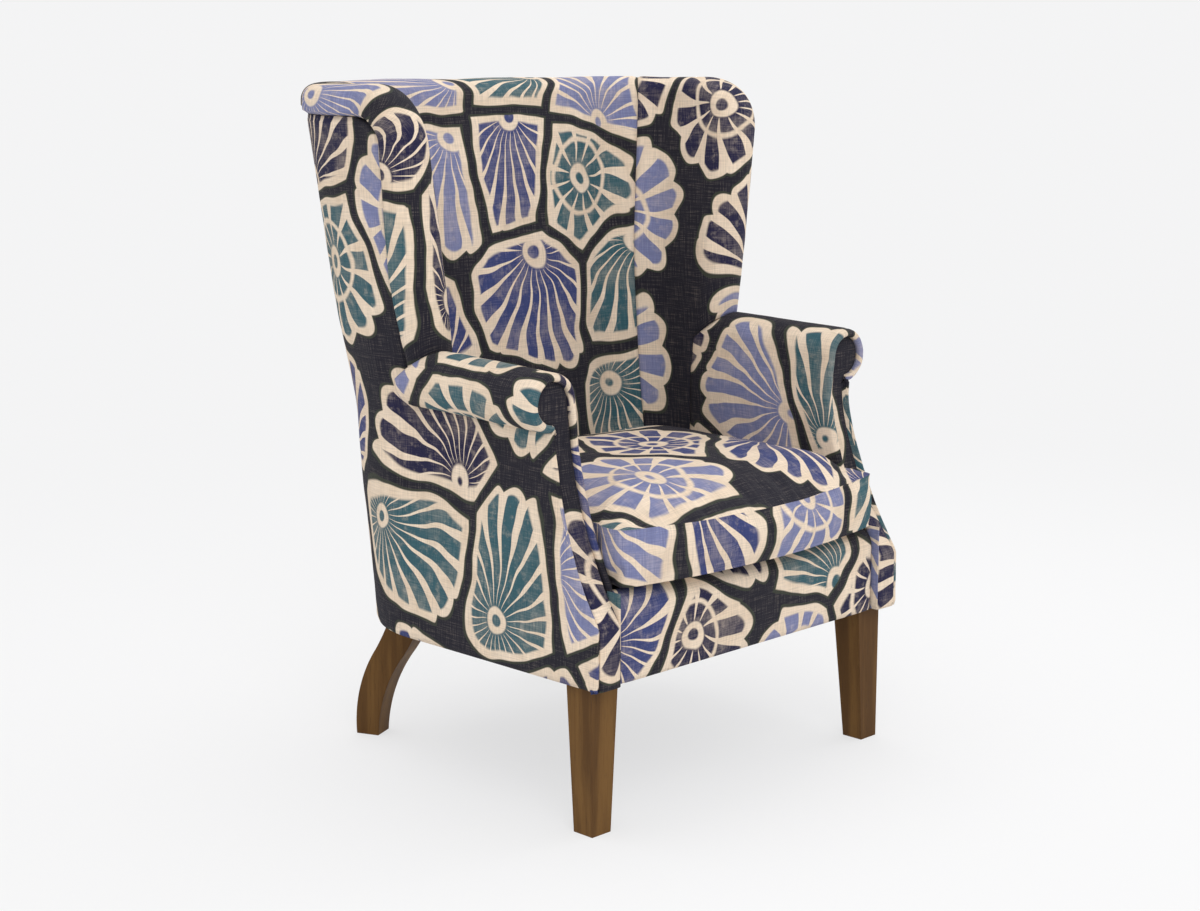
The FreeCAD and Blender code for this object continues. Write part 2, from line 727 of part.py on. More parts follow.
def facing():
    """Facing panel: the scroll outline, bent to the sweep of the arm front."""
    face = front_face(facing_outline(0.0))
    block = face.extrude(FreeCAD.Vector(0, size["arm_post_back"], 0))
    top = size["arm_height"]
    inset, thick = size["facing_inset"], size["facing_thickness"]
    near = front_profile(inset, top)
    near[0] = (size["facing_block_inset"], size["leg_height"])
    near[1] = (size["facing_block_inset"], size["block_height"])
    far = [(y + thick, z) for y, z in near]
    outline = near + far[::-1]
    arcs = {1: (size["sweep_radius"], -1), 5: (size["sweep_radius"], 1)}
    return block.common(side_prism(outline, arcs, SIDE_REACH))


def arm_pad():
    """Inside arm and arm roll in one cover, open below for the arm board and the post."""
    cx, cz, r = -value(ROLL_CENTRE), value(ROLL_LEVEL), size["roll_radius"]
    inner = -size["seat_width"] / 2
    gap = size["fit_gap"]
    back_face = -(value(POST_INNER) - gap)
    board_outer = -(value(POST_INNER) + size["arm_board_width"] + gap)
    lip = -(value(POST_OUTER) + gap)
    lip_drop = math.sqrt(r**2 - (cx - lip) ** 2)
    low = value(CUSHION_BOTTOM)
    points = [
        (lip, cz - lip_drop),
        (*on_circle(cx, cz, r, -RIGHT_ANGLE / 2), cx - r, cz),
        (*on_circle(cx, cz, r, RIGHT_ANGLE / 2), cx, cz + r),
        (*on_circle(cx, cz, r, RIGHT_ANGLE * 3 / 2), cx + r, cz),
        (inner, size["arm_swell_height"]),
        (inner, low),
        (back_face, low),
        (back_face, cz + gap),
        (board_outer, cz + gap),
        (board_outer, cz - size["arm_board_height"] - gap),
        (lip, cz - size["arm_board_height"] - gap),
    ]
    long = front_face(points).extrude(FreeCAD.Vector(0, size["wing_seam_line"], 0))
    round_edge = size["roll_edge_radius"]
    neck = size["neck_line"]
    outline = front_profile(0.0, size["arm_height"] - round_edge)
    top, bottom = arm_wing_seam()
    outline += [
        (neck + round_edge, size["arm_height"]),
        (neck + round_edge, top[1]),
        top,
        bottom,
        (bottom[0], size["leg_height"]),
    ]
    arcs = {1: (size["sweep_radius"], -1), 3: (round_edge * math.sqrt(2), 1)}
    body = long.common(side_prism(outline, arcs, SIDE_REACH))
    recess = front_face(facing_outline(gap)).extrude(FreeCAD.Vector(0, value(NECK_BACK), 0))
    return body.cut(recess)


# Seat frame: front rail, side rails, curved back rail and corner blocks.

front_rail = prism(
    "front_rail", "XY_Plane",
    [
        (f"-({RAIL_INNER} - fit_gap)", RAIL_FRONT),
        (f"{RAIL_INNER} - fit_gap", RAIL_FRONT),
        (f"{RAIL_INNER} - fit_gap", f"{RAIL_FRONT} + rail_thickness"),
        (f"-({RAIL_INNER} - fit_gap)", f"{RAIL_FRONT} + rail_thickness"),
    ],
    "rail_height", shift=("0", FRONT, RAIL_BOTTOM),
)
keep(front_rail, "front_seat_rail")

side_rail = prism(
    "side_rail", "XY_Plane",
    [
        (f"-{RAIL_OUTER}", FACING_BACK),
        (f"-{RAIL_INNER}", FACING_BACK),
        (f"-{RAIL_INNER}", f"{CORNER_Y} - fit_gap"),
        (f"-{RAIL_OUTER}", f"{CORNER_Y} - fit_gap"),
    ],
    "rail_height", shift=("0", FRONT, RAIL_BOTTOM),
)
pair(side_rail, "seat_rail")

REAR_OUTER = f"(back_corner_radius - {SKIN})"
REAR_INNER = f"({REAR_OUTER} - rail_thickness)"
back_rail = prism(
    "back_rail", "XY_Plane",
    [
        (f"-{RAIL_OUTER}", CORNER_Y),
        (f"-{RAIL_INNER}", CORNER_Y),
        (f"-{CORNER_X}", f"{CORNER_Y} + {REAR_INNER}"),
        (CORNER_X, f"{CORNER_Y} + {REAR_INNER}"),
        (RAIL_INNER, CORNER_Y),
        (RAIL_OUTER, CORNER_Y),
        (CORNER_X, f"{CORNER_Y} + {REAR_OUTER}"),
        (f"-{CORNER_X}", f"{CORNER_Y} + {REAR_OUTER}"),
    ],
    "rail_height",
    arcs={1: (REAR_INNER, 1), 3: (REAR_INNER, 1), 5: (REAR_OUTER, -1), 7: (REAR_OUTER, -1)},
    shift=("0", FRONT, RAIL_BOTTOM),
)
keep(back_rail, "curved_back_seat_rail")


def drilled(body, label, holes):
    """A piece with upright bolt holes, each given as the text of x, y, bottom and length."""
    cutters = []
    for number, (x, y, z, length) in enumerate(holes):
        hole = doc.addObject("Part::Cylinder", f"{label}_hole_{number}")
        bind(hole, "Radius", "bolt_hole_radius")
        bind(hole, "Height", length)
        bind(hole, "Placement.Base.x", x)
        bind(hole, "Placement.Base.y", f"{y} + {FRONT}")
        bind(hole, "Placement.Base.z", z)
        cutters.append(hole)
    cut = doc.addObject("Part::Cut", label)
    cut.Base = body
    cut.Tool = cutters[0]
    return cut


FRONT_LEG_OUTER = "(base_width / 2 - front_leg_inset_side)"
FRONT_BOLT_X = f"-({RAIL_INNER} - fit_gap - corner_block_reach / 4)"
FRONT_BOLT_Y = f"({RAIL_FRONT} + rail_thickness + washer_radius + 2 * fit_gap)"
REAR_TOP_X = f"({CORNER_X} + rear_leg_reach * sin(rear_leg_turn))"
REAR_TOP_Y = f"({CORNER_Y} + rear_leg_reach * cos(rear_leg_turn))"
REAR_BOLT_REACH = "(rear_block_inner + (rear_leg_reach - rear_block_inner) * 2 / 3)"
REAR_BOLT_X = f"-({CORNER_X} + {REAR_BOLT_REACH} * sin(rear_leg_turn))"
REAR_BOLT_Y = f"({CORNER_Y} + {REAR_BOLT_REACH} * cos(rear_leg_turn))"
BOLT_START = f"({RAIL_BOTTOM} - bolt_depth)"
BLOCK_START = f"({RAIL_BOTTOM} - cut_overrun)"
BLOCK_HOLE = "(corner_block_height + 2 * cut_overrun)"

front_block = prism(
    "front_block", "XY_Plane",
    [
        (f"-({RAIL_INNER} - fit_gap)", f"{RAIL_FRONT} + rail_thickness + fit_gap"),
        (f"-({RAIL_INNER} - fit_gap - corner_block_reach)", f"{RAIL_FRONT} + rail_thickness + fit_gap"),
        (f"-({RAIL_INNER} - fit_gap)", f"{RAIL_FRONT} + rail_thickness + fit_gap + corner_block_reach"),
    ],
    "corner_block_height", shift=("0", FRONT, RAIL_BOTTOM),
)
pair(
    drilled(front_block, "front_block_drilled", [(FRONT_BOLT_X, FRONT_BOLT_Y, BLOCK_START, BLOCK_HOLE)]),
    "front_corner_block",
)

REAR_BLOCK_OUTER = f"(sqrt(({REAR_INNER} - fit_gap) ^ 2 - rear_block_half_width ^ 2))"
rear_block = prism(
    "rear_block", "XY_Plane",
    [
        ("-rear_block_half_width", "rear_block_inner"),
        ("rear_block_half_width", "rear_block_inner"),
        ("rear_block_half_width", REAR_BLOCK_OUTER),
        ("-rear_block_half_width", REAR_BLOCK_OUTER),
    ],
    "corner_block_height", shift=(f"-{CORNER_X}", f"{CORNER_Y} + {FRONT}", RAIL_BOTTOM),
)
bind(rear_block, "Placement.Rotation.Angle", "rear_leg_turn")
pair(
    drilled(rear_block, "rear_block_drilled", [(REAR_BOLT_X, REAR_BOLT_Y, BLOCK_START, BLOCK_HOLE)]),
    "rear_corner_block",
)

# Legs. The front leg tapers on its two inner sides, the rear leg sweeps back in an S curve.


front_leg = prism(
    "front_leg", "XZ_Plane",
    [
        (f"-{FRONT_LEG_OUTER}", "0"),
        (f"-{FRONT_LEG_OUTER} + front_leg_foot", "0"),
        (f"-{FRONT_LEG_OUTER} + front_leg_top", RAIL_BOTTOM),
        (f"-{FRONT_LEG_OUTER}", RAIL_BOTTOM),
    ],
    "front_leg_top", shift=("0", f"{FRONT} + front_leg_line + front_leg_top", "0"),
)
taper = front_leg.newObject("PartDesign::Pocket", "front_leg_rear_taper")
taper.Profile = draw(
    front_leg, "front_leg_wedge", "YZ_Plane",
    [
        ("front_leg_foot - front_leg_top", "-cut_overrun"),
        ("front_leg_foot - front_leg_top", "0"),
        ("0", RAIL_BOTTOM),
        ("cut_overrun", RAIL_BOTTOM),
        ("cut_overrun", "-cut_overrun"),
    ],
)
taper.Type = "Length"
taper.Midplane = True
bind(taper, "Length", "base_width")
doc.recompute()
front_bolt_hole = [(FRONT_BOLT_X, FRONT_BOLT_Y, BOLT_START, "bolt_depth + cut_overrun")]
pair(drilled(front_leg, "front_leg_drilled", front_bolt_hole), "front_leg")

rear_leg = new_body("rear_leg", (f"-{REAR_TOP_X}", f"{REAR_TOP_Y} + {FRONT}", "0"))
bind(rear_leg, "Placement.Rotation.Angle", "rear_leg_turn")
rear_pad = rear_leg.newObject("PartDesign::Pad", "rear_leg_pad")
rear_pad.Profile = draw(
    rear_leg, "rear_leg_side", "YZ_Plane",
    [
        ("rear_leg_sweep - rear_leg_foot / 2", "0"),
        ("rear_leg_sweep + rear_leg_foot / 2", "0"),
        ("rear_knee_sweep + rear_leg_knee / 2", "rear_knee_height"),
        ("rear_leg_top / 2", RAIL_BOTTOM),
        ("-rear_leg_top / 2", RAIL_BOTTOM),
        ("rear_knee_sweep - rear_leg_knee / 2", "rear_knee_height"),
    ],
    arcs={1: ("rear_leg_radius", -1), 2: ("rear_hip_radius", 1),
          4: ("rear_hip_radius", -1), 5: ("rear_leg_radius", 1)},
)
rear_pad.Midplane = True
bind(rear_pad, "Length", "rear_leg_top")
doc.recompute()
for side, sign in (("inner", ""), ("outer", "-")):
    pocket = rear_leg.newObject("PartDesign::Pocket", f"rear_leg_{side}_taper")
    pocket.Profile = draw(
        rear_leg, f"rear_leg_{side}_wedge", "XZ_Plane",
        [
            (f"{sign}(rear_leg_foot / 2)", "-cut_overrun"),
            (f"{sign}(rear_leg_foot / 2)", "0"),
            (f"{sign}(rear_leg_top / 2)", RAIL_BOTTOM),
            (f"{sign}(rear_leg_top / 2 + cut_overrun)", RAIL_BOTTOM),
            (f"{sign}(rear_leg_top / 2 + cut_overrun)", "-cut_overrun"),
        ],
    )
    pocket.Type = "Length"
    pocket.Midplane = True
    bind(pocket, "Length", "2 * (rear_leg_sweep + rear_leg_top)")
    doc.recompute()
rear_bolt_hole = [(REAR_BOLT_X, REAR_BOLT_Y, BOLT_START, "bolt_depth + cut_overrun")]
pair(drilled(rear_leg, "rear_leg_drilled", rear_bolt_hole), "rear_leg")


SHANK_SIDES = 8
WASHER_SIDES = 12
NUT_SIDES = 6


def turned(x, y, radius, sides, low, high):
    """An upright rod with flat sides, from one height to another."""
    turns = [2 * math.pi * i / sides for i in range(sides)]
    spots = [FreeCAD.Vector(x + radius * math.cos(a), front + y + radius * math.sin(a), low) for a in turns]
    return Part.Face(Part.makePolygon(spots + spots[:1])).extrude(FreeCAD.Vector(0, 0, high - low))


def leg_bolt(x, y):
    """A stud with its washer and its nut."""
    seat = value(RAIL_BOTTOM) + size["corner_block_height"]
    washer_top = seat + size["washer_height"]
    nut_top = washer_top + size["nut_height"]
    stud = turned(x, y, size["bolt_radius"], SHANK_SIDES, value(BOLT_START), nut_top + size["rail_lift"])
    washer = turned(x, y, size["washer_radius"], WASHER_SIDES, seat, washer_top)
    nut = turned(x, y, size["nut_radius"], NUT_SIDES, washer_top, nut_top)
    return stud.fuse([washer, nut])


bolt_spots = [(value(FRONT_BOLT_X), value(FRONT_BOLT_Y)), (value(REAR_BOLT_X), value(REAR_BOLT_Y))]
bolts = [leg_bolt(side * x, y) for x, y in bolt_spots for side in (1, -1)]
keep(shape_object(Part.makeCompound(bolts), "leg_bolts"), "leg_bolts")

# Arms: post, board and tack rail of each side.

arm_post = prism(
    "arm_post", "YZ_Plane",
    [
        (FACING_BACK, RAIL_TOP),
        (FACING_BACK, "block_height"),
        (NECK_BACK, "waist_height"),
        (NECK_BACK, f"{BOARD_BOTTOM} - fit_gap"),
        ("arm_post_back", f"{BOARD_BOTTOM} - fit_gap"),
        ("arm_post_back", RAIL_TOP),
    ],
    "arm_post_thickness", arcs={1: ("sweep_radius", -1)}, shift=(f"-{POST_OUTER}", FRONT, "0"),
)
pair(arm_post, "arm_post")

arm_board = prism(
    "arm_board", "XY_Plane",
    [
        (f"-({POST_INNER} + arm_board_width)", NECK_BACK),
        (f"-{POST_INNER}", NECK_BACK),
        (f"-{POST_INNER}", "wing_seam_line"),
        (f"-({POST_INNER} + arm_board_width)", "wing_seam_line"),
    ],
    "arm_board_height", shift=("0", FRONT, BOARD_BOTTOM),
)
pair(arm_board, "arm_board")

arm_tack_rail = prism(
    "arm_tack_rail", "YZ_Plane",
    [
        ("arm_post_back + fit_gap", TACK_BOTTOM),
        ("wing_seam_line", TACK_BOTTOM),
        ("wing_seam_line", TACK_TOP),
        ("arm_post_back + fit_gap", TACK_TOP),
    ],
    "arm_post_thickness", shift=(f"-{POST_OUTER}", FRONT, "0"),
)
pair(arm_tack_rail, "arm_tack_rail")

# Wings and back: posts, crest rail, tack rail and webbing.

CREST_HALF_LOW = wing_half_at("crest_rail_bottom")
CREST_TOP = "(crest_rail_bottom + crest_rail_height)"
POST_TOP = "(crest_rail_bottom - fit_gap)"
wing_post = prism(
    "wing_post", "XZ_Plane",
    [
        (f"-(base_width / 2 - {SKIN})", RAIL_TOP),
        (f"-(base_width / 2 - {SKIN} - wall_frame_depth)", RAIL_TOP),
        (f"-(base_width / 2 - {SKIN} - wall_frame_depth)", "block_height"),
        (f"-(waist_width / 2 - {SKIN} - wall_frame_depth)", "waist_height"),
        (f"-(wing_middle_width / 2 - {SKIN} - wall_frame_depth)", "wing_middle_height"),
        (f"-({wing_half_at(POST_TOP)} - {SKIN} - wall_frame_depth)", POST_TOP),
        (f"-({wing_half_at(POST_TOP)} - {SKIN})", POST_TOP),
        (f"-(wing_middle_width / 2 - {SKIN})", "wing_middle_height"),
        (f"-(waist_width / 2 - {SKIN})", "waist_height"),
        (f"-(base_width / 2 - {SKIN})", "block_height"),
    ],
    "wing_post_depth",
    shift=("0", f"{FRONT} + wing_seam_line + fit_gap + wing_post_depth", "0"),
)
pair(wing_post, "wing_post")

POST_DEPTH = "(wall_frame_depth - webbing_thickness)"
back_post = prism(
    "back_post", "YZ_Plane",
    [
        (f"{back_at(RAIL_TOP)} - {SKIN}", RAIL_TOP),
        (f"{back_at(POST_TOP)} - {SKIN}", POST_TOP),
        (f"{back_at(POST_TOP)} - {SKIN} - {POST_DEPTH}", POST_TOP),
        (f"{back_at(RAIL_TOP)} - {SKIN} - {POST_DEPTH}", RAIL_TOP),
    ],
    "back_post_width", shift=("-(back_post_centre + back_post_width / 2)", FRONT, "0"),
)
pair(back_post, "back_post")

CREST_OUT_X = f"({wing_half_at('crest_rail_bottom')} - {SKIN})"
CREST_OUT_Y = f"({back_at('crest_rail_bottom')} - {SKIN})"
CREST_IN_X = f"({wing_half_at(CREST_TOP)} - {WALL} + fit_gap)"
CREST_IN_Y = f"({back_at(CREST_TOP)} - {WALL} + fit_gap)"
CREST_OUT_R = f"(back_corner_radius - {SKIN})"
CREST_IN_R = f"(back_corner_radius - {WALL} + fit_gap)"
crest_rail = prism(
    "crest_rail", "XY_Plane",
    [
        (f"-{CREST_OUT_X}", "crest_rail_front"),
        (f"-{CREST_IN_X}", "crest_rail_front"),
        (f"-{CREST_IN_X}", f"{CREST_IN_Y} - {CREST_IN_R}"),
        (f"-({CREST_IN_X} - {CREST_IN_R})", CREST_IN_Y),
        (f"{CREST_IN_X} - {CREST_IN_R}", CREST_IN_Y),
        (CREST_IN_X, f"{CREST_IN_Y} - {CREST_IN_R}"),
        (CREST_IN_X, "crest_rail_front"),
        (CREST_OUT_X, "crest_rail_front"),
        (CREST_OUT_X, f"{CREST_OUT_Y} - {CREST_OUT_R}"),
        (f"{CREST_OUT_X} - {CREST_OUT_R}", CREST_OUT_Y),
        (f"-({CREST_OUT_X} - {CREST_OUT_R})", CREST_OUT_Y),
        (f"-{CREST_OUT_X}", f"{CREST_OUT_Y} - {CREST_OUT_R}"),
    ],
    "crest_rail_height",
    arcs={2: (CREST_IN_R, 1), 4: (CREST_IN_R, 1), 8: (CREST_OUT_R, -1), 10: (CREST_OUT_R, -1)},
    shift=("0", FRONT, "crest_rail_bottom"),
)
keep(crest_rail, "curved_crest_rail")

back_tack_rail = prism(
    "back_tack_rail", "YZ_Plane",
    [
        (f"{back_at(TACK_BOTTOM)} - {SKIN}", TACK_BOTTOM),
        (f"{back_at(TACK_TOP)} - {SKIN}", TACK_TOP),
        (f"{back_at(TACK_TOP)} - {SKIN} - {POST_DEPTH}", TACK_TOP),
        (f"{back_at(TACK_BOTTOM)} - {SKIN} - {POST_DEPTH}", TACK_BOTTOM),
    ],
    "2 * (back_post_centre - back_post_width / 2 - fit_gap)",
    shift=("-(back_post_centre - back_post_width / 2 - fit_gap)", FRONT, "0"),
)
keep(back_tack_rail, "back_tack_rail")


def back_webbing():
    """Elastic straps across the front of the back posts, lying on their slope."""
    straps = []
    thick, depth = size["webbing_thickness"], value(POST_DEPTH) + value(SKIN)
    half = size["back_post_centre"] + size["back_post_width"] / 2
    level = size["webbing_first_height"]
    while level + size["webbing_width"] < size["crest_rail_bottom"]:
        corners = []
        for height, step in ((0, 0), (1, 0), (1, 1), (0, 1)):
            z = level + height * size["webbing_width"]
            corners.append(FreeCAD.Vector(-half, front + between(BACK, z) - depth - step * thick, z))
        face = Part.Face(Part.makePolygon(corners + corners[:1]))
        straps.append(face.extrude(FreeCAD.Vector(2 * half, 0, 0)))
        level += size["webbing_pitch"]
    return Part.makeCompound(straps)


keep(shape_object(back_webbing(), "back_webbing"), "back_webbing")

# Seat: sinuous springs on clips, the padded deck, the front border and the dust cover.


def spring_ends(centre):
    """Depths at which a spring's first and last bars lie on the front and back rails."""
    over = max(abs(centre) - value(CORNER_X), 0.0)
    rear = value(CORNER_Y) + math.sqrt(value(REAR_INNER) ** 2 - over**2)
    return value(RAIL_FRONT) + size["rail_thickness"] - size["spring_seat"], rear + size["spring_seat"]


def seat_spring(centre):
    """One flat zigzag of wire from the front rail to the back rail, its corners bevelled."""
    wide = size["spring_width"] / 2
    bevel = size["spring_bevel"]
    first, last = spring_ends(centre)
    bends = int((last - first) / size["spring_bend"])
    step = (last - first) / bends
    level = value(RAIL_TOP) + size["spring_wire"] / 2
    spots = []
    for i in range(bends):
        side = 1 if i % 2 == 0 else -1
        y = first + i * step
        spots.append((-side * (wide - bevel), y))
        spots.append((side * (wide - bevel), y))
        spots.append((side * wide, y + bevel))
        spots.append((side * wide, y + step - bevel))
    side = 1 if bends % 2 == 0 else -1
    spots.append((-side * (wide - bevel), last))
    spots.append((side * (wide - bevel), last))
    path = Part.makePolygon([FreeCAD.Vector(centre + x, front + y, level) for x, y in spots])
    half = size["spring_wire"] / 2
    start = spots[0]
    around = [(-half, -half), (half, -half), (half, half), (-half, half)]
    ring = [FreeCAD.Vector(centre + start[0], front + start[1] + a, level + b) for a, b in around]
    profile = Part.makePolygon(ring + ring[:1])
    sweep = path.makePipeShell([profile], True, False, 1)
    return sweep


def spring_centres():
    half = size["spring_pitch"] / 2
    return [-3 * half, -half, half, 3 * half]


def spring_clip(centre, depth):
    """A bent steel clip over one bar of a spring, its feet on the rail."""
    gap, thick, wire = size["fit_gap"], size["clip_thickness"], size["spring_wire"] / 2
    low, top = value(RAIL_TOP), value(DECK_BOTTOM) - gap
    near, far = wire + gap, wire + gap + thick
    profile = [
        (-far, low),
        (-far, top),
        (far, top),
        (far, low),
        (near, low),
        (near, top - thick),
        (-near, top - thick),
        (-near, low),
    ]
    start = centre - size["clip_width"] / 2
    spots = [FreeCAD.Vector(start, front + depth + y, z) for y, z in profile]
    face = Part.Face(Part.makePolygon(spots + spots[:1]))
    return face.extrude(FreeCAD.Vector(size["clip_width"], 0, 0))


springs = [seat_spring(c) for c in spring_centres()]
keep(shape_object(Part.makeCompound(springs), "seat_springs"), "seat_springs")
clips = [spring_clip(c, depth) for c in spring_centres() for depth in spring_ends(c)]
keep(shape_object(Part.makeCompound(clips), "spring_clips"), "spring_clips")

deck = prism(
    "deck", "XY_Plane",
    [
        ("-(seat_width / 2 + deck_tuck)", "front_setback + front_edge_depth + fit_gap"),
        ("seat_width / 2 + deck_tuck", "front_setback + front_edge_depth + fit_gap"),
        ("seat_width / 2 + deck_tuck", "deck_rear_line - deck_corner_radius"),
        ("seat_width / 2 + deck_tuck - deck_corner_radius", "deck_rear_line"),
        ("-(seat_width / 2 + deck_tuck - deck_corner_radius)", "deck_rear_line"),
        ("-(seat_width / 2 + deck_tuck)", "deck_rear_line - deck_corner_radius"),
    ],
    "deck_thickness",
    arcs={2: ("deck_corner_radius", -1), 4: ("deck_corner_radius", -1)},
    shift=("0", FRONT, DECK_BOTTOM),
)
keep(deck, "padded_seat_deck")

BORDER_HALF = "(base_width / 2 - block_width - fit_gap)"
front_border = prism(
    "front_border", "YZ_Plane",
    [
        ("front_setback", f"{RAIL_BOTTOM} + fit_gap"),
        ("front_setback + front_border_thickness", f"{RAIL_BOTTOM} + fit_gap"),
        ("front_setback + front_border_thickness", f"{RAIL_TOP} + fit_gap"),
        ("front_setback + front_edge_depth", f"{RAIL_TOP} + fit_gap"),
        ("front_setback + front_edge_depth", DECK_TOP),
        ("front_setback + front_edge_radius", DECK_TOP),
        ("front_setback", f"{DECK_TOP} - front_edge_radius"),
    ],
    f"2 * {BORDER_HALF}", arcs={5: ("front_edge_radius", -1)}, shift=(f"-{BORDER_HALF}", FRONT, "0"),
)
keep(front_border, "front_border")

COVER_HALF = "(base_width / 2 - dust_cover_margin)"
LEG_SIDE = f"({FRONT_LEG_OUTER} - front_leg_top - dust_cover_clear)"
LEG_REAR = "(front_leg_line + front_leg_top + dust_cover_clear)"
FOOT_SPAN = "(rear_leg_top / 2 * (cos(rear_leg_turn) + sin(rear_leg_turn)) + dust_cover_clear)"
REAR_SIDE = f"({REAR_TOP_X} - {FOOT_SPAN})"
REAR_FRONT = f"({REAR_TOP_Y} - {FOOT_SPAN})"
DUST_REAR = "(outside_back_base - dust_cover_margin)"
half_cover = [
    (LEG_SIDE, RAIL_FRONT),
    (LEG_SIDE, LEG_REAR),
    (COVER_HALF, LEG_REAR),
    (COVER_HALF, CORNER_Y),
    (f"{COVER_HALF} - 2 * dust_cover_margin", REAR_FRONT),
    (REAR_SIDE, REAR_FRONT),
    (REAR_SIDE, DUST_REAR),
]
dust_cover = prism(
    "dust_cover", "XY_Plane",
    half_cover + [(f"-({x})", y) for x, y in half_cover[::-1]],
    "dust_cover_thickness", shift=("0", FRONT, f"{RAIL_BOTTOM} - fit_gap - dust_cover_thickness"),
)
keep(dust_cover, "dust_cover")

# Upholstery of the shell.

pair(shape_object(outside_side_panel(), "outside_side"), "outside_panel")
back_panel = loft([back_panel_section(size[name]) for name in SHELL_LEVELS])
keep(shape_object(back_panel, "outside_back"), "outside_back_panel")
pair(shape_object(inside_wing(), "wing"), "inside_wing")
keep(shape_object(inside_back(), "back"), "inside_back")
pair(shape_object(arm_pad(), "arm"), "inside_arm")
pair(shape_object(facing(), "facing"), "arm_facing")

# Loose seat cushion: cover, filling and zip.


def cushion_section(height, inset):
    """Plan outline of the cushion at a height. The front swells and the other sides are drawn in.
    The inset narrows it evenly, and its middle leans back half as far as the inside back does."""
    half = size["cushion_width"] / 2
    near = size["cushion_front_line"]
    seam = value(CUSHION_BOTTOM) + size["cushion_under"]
    rear = between(INSIDE_BACK, seam) - size["inside_back_crown"] - size["cushion_clear"]
    lean = (between(INSIDE_BACK, height) - between(INSIDE_BACK, seam)) / 2
    rf, rr = size["cushion_front_corner"], size["cushion_rear_corner"]
    drawn = half - size["cushion_draw"]
    middle = (near + rf + rear - rr) / 2
    share = 1 - inset / half

    def fit(*step):
        """The corners of a step, narrowed towards the middle of the cushion."""
        spots = [(share * x, middle + lean + share * (y - middle)) for x, y in zip(step[::2], step[1::2])]
        return tuple(number for spot in spots for number in spot)

    return section(height, fit(-half, near + rf), [
        fit(*on_circle(-half + rf, near + rf, rf, -RIGHT_ANGLE / 2), -half + rf, near),
        fit(0.0, near - size["cushion_front_line"] - size["cushion_proud"], half - rf, near),
        fit(*on_circle(half - rf, near + rf, rf, -RIGHT_ANGLE * 3 / 2), half, near + rf),
        fit(drawn, middle, half, rear - rr),
        fit(*on_circle(half - rr, rear - rr, rr, RIGHT_ANGLE * 3 / 2), half - rr, rear),
        fit(0.0, rear - size["cushion_draw"], -half + rr, rear),
        fit(*on_circle(-half + rr, rear - rr, rr, RIGHT_ANGLE / 2), -half, rear - rr),
        fit(-drawn, middle, -half, near + rf),
    ], CUSHION_CHORDS)


def cushion_solid(skin):
    """The cushion inside a skin: flat underside, bottom seam, drawn border, top seam, crown."""
    low = value(CUSHION_BOTTOM) + skin
    seam = value(CUSHION_BOTTOM) + size["cushion_under"]
    border = size["cushion_boxing"]
    crown = size["cushion_crown"] - skin
    rows = []
    for inset, rise in UNDER_SHARES:
        rows.append(cushion_section(low + rise * (seam - low), inset * size["under_inset"] + skin))
    for share, tucked in ((0.0, 0.0), (0.5, 1.0), (1.0, 0.0)):
        rows.append(cushion_section(seam + share * border, tucked * size["cushion_draw"] + skin))
    for inset, rise in CROWN_SHARES:
        rows.append(cushion_section(seam + border + rise * crown, inset * size["crown_inset"] + skin))
    return loft(rows)


cover_skin = size["cushion_cover"]
outer_cushion = cushion_solid(0.0)
keep(shape_object(outer_cushion.cut(cushion_solid(cover_skin)), "cushion_skin"), "seat_cushion_cover")
keep(shape_object(cushion_solid(cover_skin + size["fit_gap"]), "cushion_core"), "seat_cushion_filling")


def cushion_zip():
    """Zip tape on the middle of the rear border, following its curve."""
    gap, thick = size["fit_gap"], size["zip_thickness"]
    band = cushion_solid(-gap - thick).cut(cushion_solid(-gap))
    middle = value(CUSHION_BOTTOM) + size["cushion_under"] + size["cushion_boxing"] / 2
    level = middle - size["zip_width"] / 2
    rear = front + size["inside_back_base"]
    corner = FreeCAD.Vector(-size["zip_length"] / 2, rear - size["cushion_rear_corner"], level)
    window = Part.makeBox(size["zip_length"], 2 * size["cushion_rear_corner"], size["zip_width"], corner)
    return band.common(window)


keep(shape_object(cushion_zip(), "zip"), "seat_cushion_zip")

# Check every object, then write one file for each piece.

doc.recompute()
for obj in doc.Objects:
    bad = [state for state in obj.State if state in ("Invalid", "Error")]
    if bad:
        raise RuntimeError(f"{obj.Label}: {bad}")
for obj in parts:
    if obj.Shape.isNull() or not obj.Shape.isValid() or not obj.Shape.Solids:
        raise RuntimeError(f"{obj.Label}: shape is empty or broken")

os.makedirs("parts", exist_ok=True)
for obj in parts:
    obj.Shape.exportStep(f"parts/{obj.Label}.step")
print(len(parts), "pieces")
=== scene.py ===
import functools
import math

import bmesh
import bpy
from bpy.props import FloatProperty, FloatVectorProperty, PointerProperty
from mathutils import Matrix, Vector, kdtree, noise


